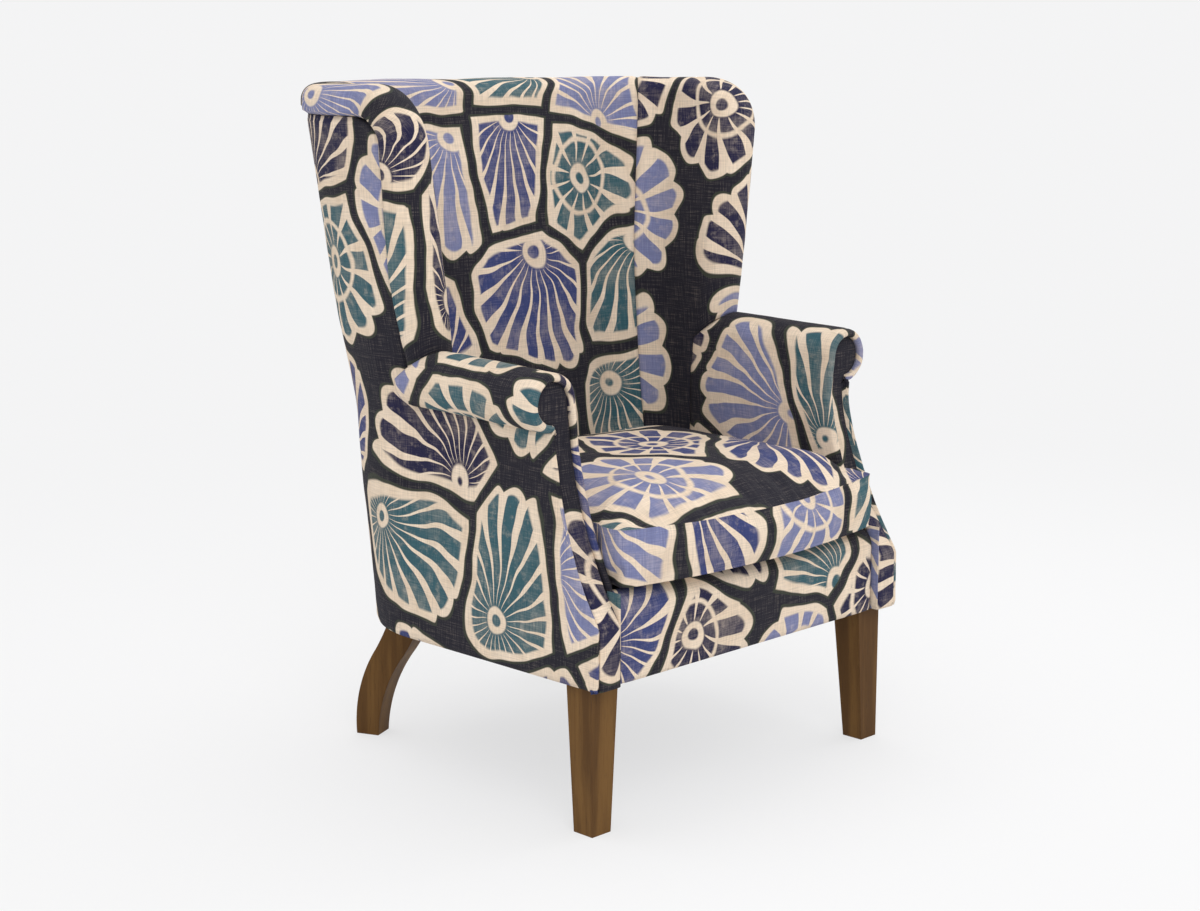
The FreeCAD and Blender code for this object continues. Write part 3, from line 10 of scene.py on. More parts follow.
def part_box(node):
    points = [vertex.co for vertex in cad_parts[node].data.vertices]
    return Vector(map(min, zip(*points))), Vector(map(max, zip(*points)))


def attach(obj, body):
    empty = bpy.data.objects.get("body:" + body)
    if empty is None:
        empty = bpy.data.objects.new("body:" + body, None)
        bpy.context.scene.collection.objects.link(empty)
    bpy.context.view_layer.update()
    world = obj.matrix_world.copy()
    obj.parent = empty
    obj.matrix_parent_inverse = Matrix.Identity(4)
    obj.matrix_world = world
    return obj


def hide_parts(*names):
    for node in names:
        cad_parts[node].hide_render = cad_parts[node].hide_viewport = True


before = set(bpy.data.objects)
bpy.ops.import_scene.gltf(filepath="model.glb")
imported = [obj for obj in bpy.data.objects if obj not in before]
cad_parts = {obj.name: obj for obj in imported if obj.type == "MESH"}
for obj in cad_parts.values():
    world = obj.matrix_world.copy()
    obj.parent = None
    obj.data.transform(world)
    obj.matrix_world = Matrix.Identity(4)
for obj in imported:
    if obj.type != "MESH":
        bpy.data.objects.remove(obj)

bl_info = {
    "name": "Wing armchair upholstery",
    "version": (1, 0, 0),
    "blender": (4, 5, 0),
    "location": "3D View > Sidebar > Armchair",
    "description": "Sews the printed cover, the loose cushion and the legs round the armchair frame",
    "category": "Object",
}

# Sizes of the chair.
# Lengths are metres. Depths are counted from the front of the arm fronts, heights from the floor.
# Pieces are drawn for the left side, where X is negative. Tables hold (height, distance) rows.

FRONT = -0.3245
LEG_TOP, BLOCK, WAIST, WING_MIDDLE = 0.213, 0.293, 0.545, 0.735
BAND_CORNER, BAND, SHOULDER, CREST = 0.930, 0.967, 0.980, 1.013
SEAT_LEVEL, DECK_LEVEL = 0.3386, 0.3383
OUTSIDE = ((LEG_TOP, 0.328), (BLOCK, 0.328), (WAIST, 0.314), (WING_MIDDLE, 0.358), (BAND, 0.378))
INSIDE = ((SEAT_LEVEL, 0.266), (WAIST, 0.266), (WING_MIDDLE, 0.276), (BAND, 0.314))
BACK = ((LEG_TOP, 0.583), (BAND, 0.661))
INSIDE_BACK = ((SEAT_LEVEL, 0.470), (BAND, 0.545))
ROUNDING, ROUNDING_SHARES = 0.045, [i / 4 - 1 for i in range(9)]
OUTER_CORNER, INNER_CORNER = 0.190, 0.085
REAR_FULLNESS, FULL_FROM, FULL_TO = 0.012, (0.26, 0.50), (0.56, 0.80)
BACK_CROWN = 0.014
OVERHANG = 0.008
CELL = 0.0085

WING_FRONT, WING_SEAM = 0.328, 0.378
WING_FOOT, WING_FOOT_RISE = 0.6003, 0.0377
LIP, LIP_SHARES = 0.0126, (0.0, 0.5)
TOP_DEPTH = 0.428
CREST_BOW, SHOULDER_BOW, SEAM_BOW = (0.100, 0.083), (0.0626, 0.050), (0.050, 0.037)
TOP_POWER = 3.0
TUCKED_UNDER, ROLL_TO_SEAM, ROLL_CLOTH = 0.003, 0.016, 1.35

NECK, BLOCK_TOP, SWEEP = 0.092, 0.299, 0.560
ROLL_X, ROLL_Z, ROLL, ARM_FALL = -0.314, 0.600, 0.042, 0.006
ARM_SWELL = 0.005
ARM_BEND, ARM_BEND_OUT = 0.512, 0.006
ARM_BACK, ARM_BACK_LEAN = WING_SEAM + 0.003, 0.050 / 0.0417
ARM_EDGE = ((0.0145, 0.0085), (0.012, 0.003), (0.0095, 0.0006), (0.0065, 0.0005), (0.0035, 0.0022),
            (0.0014, 0.0050), (0.0003, 0.0088))
ARM_EDGE_END, ARM_EDGE_CLOTH = 0.013, -0.022
GATHER, GATHER_PITCH, GATHER_DRIFT, GATHER_REACH, GATHERED_ABOVE = 0.0011, 390, 90, 0.016, 0.575
PANEL_TOP = 0.5577
PANEL_HEM = ((0.003, 0.0015), (0.007, 0.005))

FACING_HEAD, FACING_PAD = 0.032, 0.0035
FACING_EDGE, FACING_TUCK = 0.0048, 0.0045
FACING_NECK, FACING_NECK_IN, FACING_FOOT_IN = 0.400, -0.276, -0.282
BORDER_LINE, BORDER_HALF, BORDER_PAD = 0.019, 0.2817, 0.012
BORDER_ROUND, BORDER_DEPTH, BORDER_BELLY = 0.016, 0.027, 0.003
DECK_HALF, DECK_CORNER, DECK_TURN, DECK_BACK = 0.2795, 0.160, 0.392, 0.545
DECK_SUNK, DECK_PUFF = 0.009, 0.006
DUST_CORNER, DUST_TURN, DUST_SAG = 0.176, 0.393, 0.0022

CUSHION_LOW, CUSHION_BORDER = SEAT_LEVEL + 0.008, 0.080
CUSHION_HALF, CUSHION_FRONT, CUSHION_MIDDLE = 0.264, 0.006, 0.222
CUSHION_FRONT_CORNER, CUSHION_REAR_CORNER = 0.015, 0.084
CUSHION_CROWN, CROWN_REACH, CUSHION_REACH = 0.042, 0.170, 0.245
CUSHION_SWELL, CUSHION_EAR, CUSHION_DRAW = 0.026, 0.009, 0.004
CUSHION_CELLS, SEAM_ROW, SEAM_RIDGE, SEAM_RING = 60, 0.988, 0.0018, 0.034
BORDER_ROWS, BORDER_CUT, UNDER_CUT = 11, (1.2, 1.7), 0.9
CUSHION_FULLNESS, SETTLING_FRAMES = 0.026, 20
MOST_MOVE, LEAST_MOVE = 0.009, 0.001


def settings():
    return bpy.context.scene.armchair_look


def place(x, y, z):
    """A point of the chair in the shared frame, from its side, depth and height."""
    return Vector((x, FRONT + y, z))


def smooth(edge, full, x):
    """0 up to the edge, 1 from full on, with a soft slope between them."""
    t = min(max((x - edge) / (full - edge), 0.0), 1.0)
    return t * t * (3 - 2 * t)


def straight_station(table, z):
    """Straight lines through (height, distance) rows, run on past both ends."""
    k = 0
    while k < len(table) - 2 and z > table[k + 1][0]:
        k += 1
    (low, a), (high, b) = table[k], table[k + 1]
    return a + (b - a) * (z - low) / (high - low)


@functools.lru_cache(maxsize=None)
def station(table, z):
    """The same lines with their corners rounded over a hand's width, level above the top row."""
    z = min(max(z, table[0][0]), table[-1][0])
    reach = min(ROUNDING, z - table[0][0], table[-1][0] - z)
    spots = [z + reach * share for share in ROUNDING_SHARES]
    return sum(straight_station(table, spot) for spot in spots) / len(spots)


def spread(count):
    return [i / (count - 1) for i in range(count)]


def across(half, count):
    """Even steps from one side of the chair to the other."""
    return [half * (2 * share - 1) for share in spread(count)]


def steps(low, high, pitch=CELL):
    count = max(2, round(abs(high - low) / pitch) + 1)
    return [low + (high - low) * i / (count - 1) for i in range(count)]


def on_corner(half, back, radius, degrees):
    """A point of the left rear corner, the angle counted from straight left to the back."""
    turn = math.radians(degrees)
    return (-(half - radius) - radius * math.cos(turn), back - radius + radius * math.sin(turn))


def corner(end, first, last, pitch):
    """Plan line round a rear corner, from one angle to another."""
    return [on_corner(*end, angle) for angle in steps(first, last, pitch)]


def outside(z, out=0.0):
    """Half width, depth and corner radius of the back end, padded out a little at the waist."""
    full = REAR_FULLNESS * smooth(*FULL_FROM, z) * (1 - smooth(*FULL_TO, z))
    return station(OUTSIDE, z) + full + out, station(BACK, z) + 0.3 * full + out, OUTER_CORNER + out


def inside(z):
    """Half width, depth and corner radius of the seat's back end."""
    return station(INSIDE, z), station(INSIDE_BACK, z), INNER_CORNER


def mirror_on(left):
    """A plan line of the left half, carried on over the right half."""
    return left + [(-x, y) for x, y in reversed(left)]


def resample(points, shares):
    """Points at the given shares of a plan line, with the distance to each."""
    lengths = [0.0]
    for a, b in zip(points, points[1:]):
        lengths.append(lengths[-1] + math.dist(a, b))
    spots, runs = [], []
    k = 0
    for share in shares:
        run = share * lengths[-1]
        while k < len(points) - 2 and lengths[k + 1] < run:
            k += 1
        while k > 0 and lengths[k] > run:
            k -= 1
        part = (run - lengths[k]) / max(lengths[k + 1] - lengths[k], 1e-9)
        a, b = points[k], points[k + 1]
        spots.append((a[0] + (b[0] - a[0]) * part, a[1] + (b[1] - a[1]) * part))
        runs.append(run)
    return spots, runs


def seam_foot(z, out):
    """Where the wing's rear seam, carried straight out, meets the outside of the chair, in degrees."""
    x, y = on_corner(*inside(z), 45.0)
    half, back, radius = outside(z, out)
    dx, dy = x + half - radius, y - back + radius
    along = (dy - dx) * math.sqrt(0.5)
    reach = -along + math.sqrt(along**2 - (dx**2 + dy**2 - radius**2))
    return math.degrees(math.atan2(dy + reach * math.sqrt(0.5), -(dx - reach * math.sqrt(0.5))))


def inner_line(z, start):
    """Inside of the left wing in plan, from a depth to its rear seam."""
    return [(-station(INSIDE, z), start)] + corner(inside(z), 0.0, 45.0, 2.5)


def back_line(z, bow):
    """Inside back in plan, from the left seam to the right seam, with its crown."""
    half, back, radius = inside(z)
    left = corner(inside(z), 45.0, 90.0, 3.0)
    flat = half - radius
    middle = [(x, back - BACK_CROWN * bow * (1 - (x / flat) ** 2)) for x in steps(-flat, flat, 0.008)]
    return left + middle[1:-1] + [(-x, y) for x, y in reversed(left)]


def outer_back_line(z, out):
    """Outside of the top roll of the back in plan, from seam foot to seam foot."""
    return mirror_on(corner(outside(z, out), seam_foot(z, out), 90.0, 3.0))


def outer_wing_line(z, out):
    """Outside of the top roll of the left wing in plan, from its corner to the seam foot."""
    end = outside(z, out)
    return [(-end[0], TOP_DEPTH)] + corner(end, 0.0, seam_foot(z, out), 2.5)


def front_line(z):
    """Front edge of the arm front at a height: upright foot, swept neck, upright head."""
    if z <= BLOCK_TOP:
        return 0.0
    if z >= WAIST:
        return NECK
    rise = WAIST - BLOCK_TOP
    chord = math.hypot(rise, NECK)
    t = (z - BLOCK_TOP) / rise
    sag = SWEEP - math.sqrt(SWEEP**2 - chord**2 / 4)
    return NECK * t + 4 * sag * t * (1 - t) * chord / rise


# Sewing.

SAME_SPOT = 0.0003
SLOW_WAVE, QUICK_WAVE, WAVE_REACH = 9.0, 23.0, 0.04
PUCKER_PITCH, PUCKER_REACH, PUCKER_SHARE = 52.0, 0.034, 0.9

# Where each piece is cut from the printed cloth.
CUT_AT = {
    "left_outside_cover": (0.31, 0.12), "right_outside_cover": (2.07, 0.43), "outside_back_cover": (3.4, 0.2),
    "inside_back_cover": (5.03, 0.07), "left_wing_cover": (6.2, 0.31), "right_wing_cover": (7.45, 0.52),
    "left_arm_cover": (8.3, 0.2), "right_arm_cover": (9.4, 0.65), "left_block_return": (9.2, 0.2),
    "right_block_return": (10.3, 0.65), "left_facing_cover": (10.124, -0.28),
    "right_facing_cover": (10.524, -0.28), "front_border_cover": (10.6, 0.13),
}


def cover_piece(name, patches, toward, *nodes, slot="printed_linen", thick=0.003, tuck=None, ripple=None,
                hem=0.009):
    """One sewn piece of the cover from grids of points with their places on the flat cloth.
    Its edges are drawn down into the seams and its inside is closed by a thin lining.
    Pieces of the right side are those of the left side, mirrored."""
    look = settings()
    cut_x, cut_y = CUT_AT.get(name, (0.0, 0.0))
    mesh = bmesh.new()
    cloth = mesh.loops.layers.uv.new("cloth")
    for grid in patches:
        rows = [[mesh.verts.new(spot) for spot, _ in row] for row in grid]
        for i in range(len(grid) - 1):
            for j in range(len(grid[0]) - 1):
                corners = [(i, j), (i, j + 1), (i + 1, j + 1), (i + 1, j)]
                spots = [grid[a][b][0] for a, b in corners]
                kept = [corners[k] for k in range(4) if (spots[k] - spots[k - 1]).length > 1e-6]
                if len(kept) < 3:
                    continue
                face = mesh.faces.new([rows[a][b] for a, b in kept])
                for loop, (a, b) in zip(face.loops, kept):
                    s, t = grid[a][b][1]
                    loop[cloth].uv = (s + cut_x, t + cut_y)
    if name.startswith("right"):
        for vertex in mesh.verts:
            vertex.co.x = -vertex.co.x
    bmesh.ops.remove_doubles(mesh, verts=mesh.verts, dist=SAME_SPOT)
    bmesh.ops.recalc_face_normals(mesh, faces=mesh.faces)
    mesh.normal_update()
    score = sum(face.normal.dot(toward(face.calc_center_median())) * face.calc_area() for face in mesh.faces)
    if score < 0:
        bmesh.ops.reverse_faces(mesh, faces=mesh.faces)
        mesh.normal_update()
    draw_down(mesh, look.seam_depth if tuck is None else tuck, look.seam_width,
              look.ripple if ripple is None else ripple, hem)
    return finish_piece(name, mesh, slot, nodes, thick)


def draw_down(mesh, depth, width, ripple, hem):
    """Pull the cloth down beside the seams and let it lie a little unevenly between them."""
    ways = {v: v.normal.copy() for e in mesh.edges if e.is_boundary for v in e.verts}
    tree = kdtree.KDTree(len(ways))
    for i, vertex in enumerate(ways):
        tree.insert(vertex.co, i)
    tree.balance()
    moves = []
    for vertex in mesh.verts:
        away = tree.find(vertex.co)[2]
        edge = max(0.0, 1 - away / width)
        wave = noise.noise(vertex.co * SLOW_WAVE) + 0.5 * noise.noise(vertex.co * QUICK_WAVE)
        pucker = noise.noise(vertex.co * PUCKER_PITCH) * max(0.0, 1 - away / PUCKER_REACH) * (1 - edge * edge)
        lift = wave * ripple * smooth(0.0, WAVE_REACH, away)
        lift += PUCKER_SHARE * ripple * pucker - depth * edge * edge
        moves.append(vertex.normal * lift)
    for vertex, move in zip(mesh.verts, moves):
        vertex.co += move
    if hem:
        turn_in(mesh, ways, hem)


def turn_in(mesh, ways, hem):
    """A narrow hem behind each seam, so that nothing shows between two pieces."""
    edges = [e for e in mesh.edges if e.is_boundary]
    cloth = mesh.loops.layers.uv["cloth"]
    made = {}
    for edge in edges:
        for vertex in edge.verts:
            if vertex not in made:
                made[vertex] = mesh.verts.new(vertex.co - ways[vertex] * hem)
    for edge in edges:
        loop = edge.link_loops[0]
        first, last = loop.vert, loop.link_loop_next.vert
        here, there = loop[cloth].uv.copy(), loop.link_loop_next[cloth].uv.copy()
        face = mesh.faces.new([last, first, made[first], made[last]])
        for turn, spot in zip(face.loops, (there, here, here, there)):
            turn[cloth].uv = spot


def finish_piece(name, mesh, slot, nodes, thick=0.0, body="chair"):
    """Make an object of a drawn mesh, line and dress it, hang it on its body and hide the frame parts it
    stands for.
    """
    data = bpy.data.meshes.new(name)
    mesh.to_mesh(data)
    mesh.free()
    piece = bpy.data.objects.new(name, data)
    bpy.context.scene.collection.objects.link(piece)
    for polygon in data.polygons:
        polygon.use_smooth = True
    if thick:
        shell = piece.modifiers.new("lining", "SOLIDIFY")
        shell.thickness = thick
        shell.offset = -1
    dress(piece, slot)
    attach(piece, body)
    if nodes:
        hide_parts(*nodes)
    return piece


def dress(piece, slot):
    """One finish all over a piece."""
    piece.data.materials.clear()
    piece.data.materials.append(finish_of(slot))


def away_from(x, y, z):
    """A rule for which side of a piece is its outside: the one away from a point."""
    core = place(x, y, z)
    return lambda spot: spot - core


def facing_to(x, y, z):
    """The same rule for a piece whose outside looks one way all over."""
    return lambda spot: Vector((x, y, z))


# Finishes.

class Wiring:
    """Short names for adding and joining the nodes of one material or world."""

    def __init__(self, holder):
        holder.use_nodes = True
        self.holder = holder
        self.tree = holder.node_tree
        self.shader = self.tree.nodes.get("Principled BSDF")

    def feed(self, socket, item):
        """Join a socket to another node's output, or set its value. A colour is made solid here."""
        if isinstance(item, bpy.types.NodeSocket):
            self.tree.links.new(item, socket)
        elif socket.type == "RGBA":
            socket.default_value = (*item, 1.0)
        else:
            socket.default_value = item

    def add(self, kind, **values):
        """A new node. Names with a capital are its inputs, the others its settings."""
        node = self.tree.nodes.new(kind)
        for key, item in values.items():
            if key[0].isupper():
                self.feed(node.inputs[key], item)
            else:
                setattr(node, key, item)
        return node

    def feed_all(self, node, *items):
        for socket, item in zip(node.inputs, items):
            self.feed(socket, item)
        return node

    def calc(self, operation, *items):
        return self.feed_all(self.add("ShaderNodeMath", operation=operation), *items).outputs[0]

    def vector(self, operation, *items):
        node = self.feed_all(self.add("ShaderNodeVectorMath", operation=operation), *items)
        return node.outputs["Value" if operation == "LENGTH" else "Vector"]

    def scaled(self, vector, factor):
        node = self.add("ShaderNodeVectorMath", operation="SCALE", Vector=vector, Scale=factor)
        return node.outputs["Vector"]

    def line(self, item, slope, start):
        return self.calc("ADD", self.calc("MULTIPLY", item, slope), start)

    def step(self, low, high, item):
        """0 below low, 1 above high, smooth between."""
        limits = {"Value": item, "From Min": low, "From Max": high}
        return self.add("ShaderNodeMapRange", interpolation_type="SMOOTHSTEP", **limits).outputs["Result"]

    def partly(self, low, high, item, most):
        """The same step, up to a part of the whole."""
        return self.calc("MULTIPLY", self.step(low, high, item), most)

    def mix(self, share, first, second):
        node = self.add("ShaderNodeMix", data_type="RGBA")
        for key, item in ((0, share), (6, first), (7, second)):
            self.feed(node.inputs[key], item)
        return node.outputs[2]

    def blend(self, share, first, second):
        """Two shaders blended and led to the surface."""
        node = self.feed_all(self.add("ShaderNodeMixShader"), share, first.outputs[0], second.outputs[0])
        end = next(item for item in self.tree.nodes if "Surface" in item.inputs)
        self.feed(end.inputs["Surface"], node.outputs[0])

    def seen(self):
        """1 for what shows straight, in a mirror or through glass, 0 for what only lights."""
        path = self.add("ShaderNodeLightPath")
        share = path.outputs["Is Camera Ray"]
        for ray in ("Is Glossy Ray", "Is Transmission Ray"):
            share = self.calc("MAXIMUM", share, path.outputs[ray])
        return share

    def noise(self, vector, scale, detail, rough):
        node = self.add("ShaderNodeTexNoise", Vector=vector, Scale=scale, Detail=detail, Roughness=rough)
        return node.outputs[0]

    def wander(self, vector, course, scale, detail, reach):
        """The vector, led astray by the noise along a course."""
        drift = self.add("ShaderNodeTexNoise", Vector=course, Scale=scale, Detail=detail).outputs["Color"]
        return self.vector("ADD", vector, self.scaled(drift, reach))

    def stretch(self, vector, x, y, z=1.0):
        return self.vector("MULTIPLY", vector, (x, y, z))

    def spot(self):
        return self.add("ShaderNodeTexCoord").outputs["Object"]

    def bump(self, height, strength, distance):
        node = self.add("ShaderNodeBump", Height=height, Strength=strength, Distance=distance)
        self.feed(self.shader.inputs["Normal"], node.outputs["Normal"])

    def paint(self, colour, roughness, **more):
        """Finish the shader off. The other values go by the names of its sockets."""
        for name, item in {"Base Color": colour, "Roughness": roughness, **more}.items():
            self.feed(self.shader.inputs[name], item)
        return self.holder


# Sizes in the print, in shares of a motif. A fan has more petals than a rosette, reaches further from
# its hub, and has its hub off its middle. Pairs are the two ends of a soft edge.
FAN_CHANCE, FAN_HUB = 0.42, 0.36
ROSETTE_PETALS, MORE_PETALS = 6.0, 6.0
ROSETTE_SIZE, MORE_SIZE = 0.60, 0.32
LOBE_START, LOBE = 0.6, 0.075
MIDDLE_REACH, MIDDLE_BLEND, PETAL_BLEND = 0.72, 0.18, 0.05
CELL_GAP, CELL_SLOPE = 0.055, 0.62
RIB_START, RIB_GROWTH, RIB_EDGE, RIB_FROM = 0.08, 0.58, 0.07, (0.10, 0.14)
RING_INSIDE, RING_OUTSIDE = (0.235, 0.26), (0.30, 0.275)
PALE_RIM, EYE, DOT = (0.095, 0.07), (0.115, 0.095), (0.055, 0.04)
OUTLINE, MOTIF_EDGE = (0.022, 0.012), (0.0, -0.008)


def block_print(w, cloth, motif):
    """Drawing of the fans and rosettes: depth inside a motif, its pale parts, its dot and its colour."""
    drift = w.add("ShaderNodeTexNoise", Vector=cloth, Scale=7.0, Detail=2.0).outputs["Color"]
    drawn = w.vector("ADD", cloth, w.scaled(w.vector("SUBTRACT", drift, (0.5, 0.5, 0.5)), 0.055))
    cells = w.scaled(drawn, 1 / motif)
    field = {"voronoi_dimensions": "2D", "Vector": cells, "Scale": 1.0, "Randomness": 0.85}
    nearest = w.add("ShaderNodeTexVoronoi", **field)
    second = w.add("ShaderNodeTexVoronoi", feature="F2", **field).outputs["Distance"]
    pick, turn, colour = w.add("ShaderNodeSeparateColor", Color=nearest.outputs["Color"]).outputs
    fan = w.calc("GREATER_THAN", pick, FAN_CHANCE)
    angle = w.calc("MULTIPLY", turn, 2 * math.pi)
    lean = w.add("ShaderNodeCombineXYZ", X=w.calc("COSINE", angle), Y=w.calc("SINE", angle)).outputs[0]
    local = w.vector("SUBTRACT", cells, nearest.outputs["Position"])
    hub = w.vector("ADD", local, w.scaled(lean, w.calc("MULTIPLY", fan, FAN_HUB)))
    parts = w.add("ShaderNodeSeparateXYZ", Vector=hub).outputs
    reach = w.vector("LENGTH", hub)

    # The rim of a motif is its petals, held inside its cell and near the cell's middle.
    bearing = w.calc("ADD", w.calc("ARCTAN2", parts[1], parts[0]), angle)
    petals = w.line(fan, MORE_PETALS, ROSETTE_PETALS)
    wave = w.calc("ABSOLUTE", w.calc("SINE", w.calc("MULTIPLY", bearing, petals)))
    size = w.line(fan, MORE_SIZE, ROSETTE_SIZE)
    lobes = w.calc("MULTIPLY", w.calc("SUBTRACT", wave, LOBE_START), LOBE)
    petal_rim = w.calc("SUBTRACT", w.calc("ADD", size, lobes), reach)
    middle_rim = w.calc("SUBTRACT", MIDDLE_REACH, w.vector("LENGTH", local))
    gap = w.calc("SUBTRACT", w.calc("SUBTRACT", second, nearest.outputs["Distance"]), CELL_GAP)
    cell_rim = w.calc("MULTIPLY", gap, CELL_SLOPE)
    round_rim = w.calc("SMOOTH_MIN", cell_rim, middle_rim, MIDDLE_BLEND)
    depth = w.calc("SMOOTH_MIN", round_rim, petal_rim, PETAL_BLEND)

    # Ribs between the petals, the rosettes' ring, the rim and the eye stay unprinted.
    rib_edge = w.line(w.calc("DIVIDE", reach, size), RIB_GROWTH, RIB_START)
    rib = w.step(w.calc("ADD", rib_edge, RIB_EDGE), rib_edge, wave)
    pale = w.calc("MULTIPLY", rib, w.step(*RIB_FROM, reach))
    ring = w.calc("MULTIPLY", w.step(*RING_OUTSIDE, reach), w.step(*RING_INSIDE, reach))
    ring = w.calc("MULTIPLY", ring, w.calc("SUBTRACT", 1.0, fan))
    for other in (ring, w.step(*PALE_RIM, depth), w.step(*EYE, reach)):
        pale = w.calc("MAXIMUM", pale, other)
    return depth, pale, w.step(*DOT, reach), colour


def printed_linen():
    """Slubby linen with a block print of fans and rosettes on a dark ground."""
    look = settings()
    w = Wiring(bpy.data.materials.new("block_printed_linen"))
    cloth = w.add("ShaderNodeUVMap", uv_map="cloth").outputs["UV"]
    depth, pale, dot, colour = block_print(w, cloth, look.motif)
    grain = w.noise(w.stretch(cloth, 60.0, 60.0), 1.0, 4.0, 0.7)
    patchy = w.noise(cloth, 14.0, 3.0, 0.6)
    slub_warp = w.noise(w.stretch(cloth, 620.0, 24.0), 1.0, 3.0, 0.6)
    slub_weft = w.noise(w.stretch(cloth, 24.0, 620.0), 1.0, 3.0, 0.6)
    slub = w.calc("ADD", slub_warp, slub_weft)

    # The ink wears thin in patches and along the slubs.
    colours = w.add("ShaderNodeValToRGB", Fac=colour)
    ramp = colours.color_ramp
    ramp.interpolation = "CONSTANT"
    ramp.elements[1].position = 0.27
    for position in (0.52, 0.76):
        ramp.elements.new(position)
    for element, shade in zip(ramp.elements, (look.navy, look.periwinkle, look.teal, look.blue)):
        element.color = (*shade, 1.0)
    wear = w.calc("ADD", w.calc("MULTIPLY", patchy, 0.55), w.calc("MULTIPLY", slub, 0.24))
    faded = w.mix(0.34, colours.outputs[0], look.cream)
    ink = w.mix(w.partly(0.46, 0.72, wear, 0.72), colours.outputs[0], faded)
    ink = w.mix(w.partly(0.50, 0.72, grain, 0.20), ink, look.cream)
    cream = w.mix(w.step(0.35, 0.7, patchy), look.cream, look.cream_deep)
    ground = w.mix(w.partly(0.98, 1.35, slub, 0.085), look.charcoal, look.cream)
    motif = w.mix(dot, w.mix(pale, ink, cream), ink)
    motif = w.mix(w.step(*OUTLINE, depth), motif, look.olive)
    printed = w.mix(w.step(*MOTIF_EDGE, depth), motif, ground)
    shaded = w.add("ShaderNodeHueSaturation", Value=w.line(slub, 0.62, 0.38), Color=printed)

    threads = w.add("ShaderNodeSeparateXYZ", Vector=w.wander(cloth, cloth, 180.0, 1.0, 0.0012)).outputs
    pitch = 2 * math.pi / look.thread
    warp, weft = (w.calc("SINE", w.calc("MULTIPLY", thread, pitch)) for thread in threads[:2])
    w.bump(w.calc("ADD", w.calc("MULTIPLY", warp, weft), w.calc("MULTIPLY", slub, 2.2)), 0.55, 0.0004)
    sheen = {"Sheen Weight": 0.03, "Sheen Roughness": 0.6, "Specular IOR Level": 0.12}
    return w.paint(shaded.outputs[0], 0.86, **sheen)


def walnut():
    """Oiled walnut, the grain running up the leg."""
    look = settings()
    w = Wiring(bpy.data.materials.new("oiled_walnut"))
    spot = w.spot()
    bent = w.wander(spot, w.stretch(spot, 4.0, 4.0, 1.6), 1.0, 2.0, 0.05)
    rings = w.noise(w.stretch(bent, 38.0, 38.0, 2.2), 1.0, 4.0, 0.6)
    fine = w.noise(w.stretch(bent, 420.0, 420.0, 9.0), 1.0, 3.0, 0.6)
    pores = w.noise(w.stretch(bent, 900.0, 900.0, 32.0), 1.0, 2.0, 0.5)
    base = w.mix(w.step(0.35, 0.66, rings), look.walnut_dark, look.walnut_light)
    base = w.mix(w.partly(0.5, 0.75, fine, 0.35), base, look.walnut_dark)
    base = w.mix(w.partly(0.62, 0.72, pores, 0.45), base, (0.02, 0.011, 0.006))
    w.bump(w.calc("ADD", fine, w.calc("MULTIPLY", pores, -0.8)), 0.18, 0.0004)
    return w.paint(base, w.line(fine, 0.18, 0.46), **{"Specular IOR Level": 0.14})


def frame_timber():
    """Planed beech of the inner frame."""
    w = Wiring(bpy.data.materials.new("planed_beech"))
    spot = w.spot()
    grain = w.noise(w.stretch(spot, 30.0, 6.0, 60.0), 1.0, 4.0, 0.6)
    flecks = w.noise(w.stretch(spot, 300.0, 60.0, 600.0), 1.0, 2.0, 0.5)
    base = w.mix(w.step(0.35, 0.7, grain), (0.46, 0.29, 0.16), (0.60, 0.42, 0.26))
    base = w.mix(w.partly(0.55, 0.7, flecks, 0.4), base, (0.36, 0.20, 0.10))
    w.bump(flecks, 0.15, 0.0003)
    return w.paint(base, 0.62)


def steel(name, tint, roughness):
    """Steel with an uneven film of oil or zinc."""
    w = Wiring(bpy.data.materials.new(name))
    film = w.noise(w.spot(), 60.0, 4.0, 0.6)
    base = w.mix(film, [c * 0.8 for c in tint], tint)
    w.bump(film, 0.08, 0.0002)
    return w.paint(base, w.line(film, 0.2, roughness - 0.1), Metallic=1.0)


def plain_cloth(name, light, dark, pitch):
    """Plain woven cloth for the places that don't show in use."""
    w = Wiring(bpy.data.materials.new(name))
    spot = w.spot()
    thread = {"Vector": spot, "Scale": pitch, "Distortion": 1.2}
    warp, weft = (w.add("ShaderNodeTexWave", bands_direction=way, **thread).outputs["Fac"] for way in "XY")
    weave = w.calc("ADD", warp, weft)
    shade = w.calc("MULTIPLY", w.calc("ADD", weave, w.noise(spot, 35.0, 3.0, 0.6)), 0.4)
    w.bump(weave, 0.4, 0.0004)
    return w.paint(w.mix(shade, dark, light), 0.92)


def floor_finish(tint):
    """Matt pale floor that keeps the shadow and runs into the background further out."""
    w = Wiring(bpy.data.materials.new("floor_paint"))
    spot = w.add("ShaderNodeNewGeometry").outputs["Position"]
    away = w.vector("LENGTH", w.stretch(spot, 1.0, 1.0, 0.0))
    mottle = w.mix(w.noise(spot, 1.5, 2.0, 0.5), [c * 0.985 for c in tint], tint)
    glow = w.add("ShaderNodeEmission", Color=tint, Strength=1.0)
    share = w.line(w.step(0.7, 3.0, away), 0.31, 0.69)
    w.blend(w.calc("MULTIPLY", share, w.seen()), w.shader, glow)
    return w.paint(mottle, 0.9, **{"Specular IOR Level": 0.1})


def studio(look):
    """World that lights the chair evenly and shows the colour of the floor."""
    w = Wiring(bpy.data.worlds.new("studio"))
    light = w.tree.nodes["Background"]
    w.feed_all(light, (1.0, 1.0, 1.0), look.daylight)
    w.blend(w.seen(), light, w.add("ShaderNodeBackground", Color=look.floor))
    return w.holder


SHOWN = {"printed_linen": printed_linen, "walnut": walnut, "frame_timber": frame_timber}

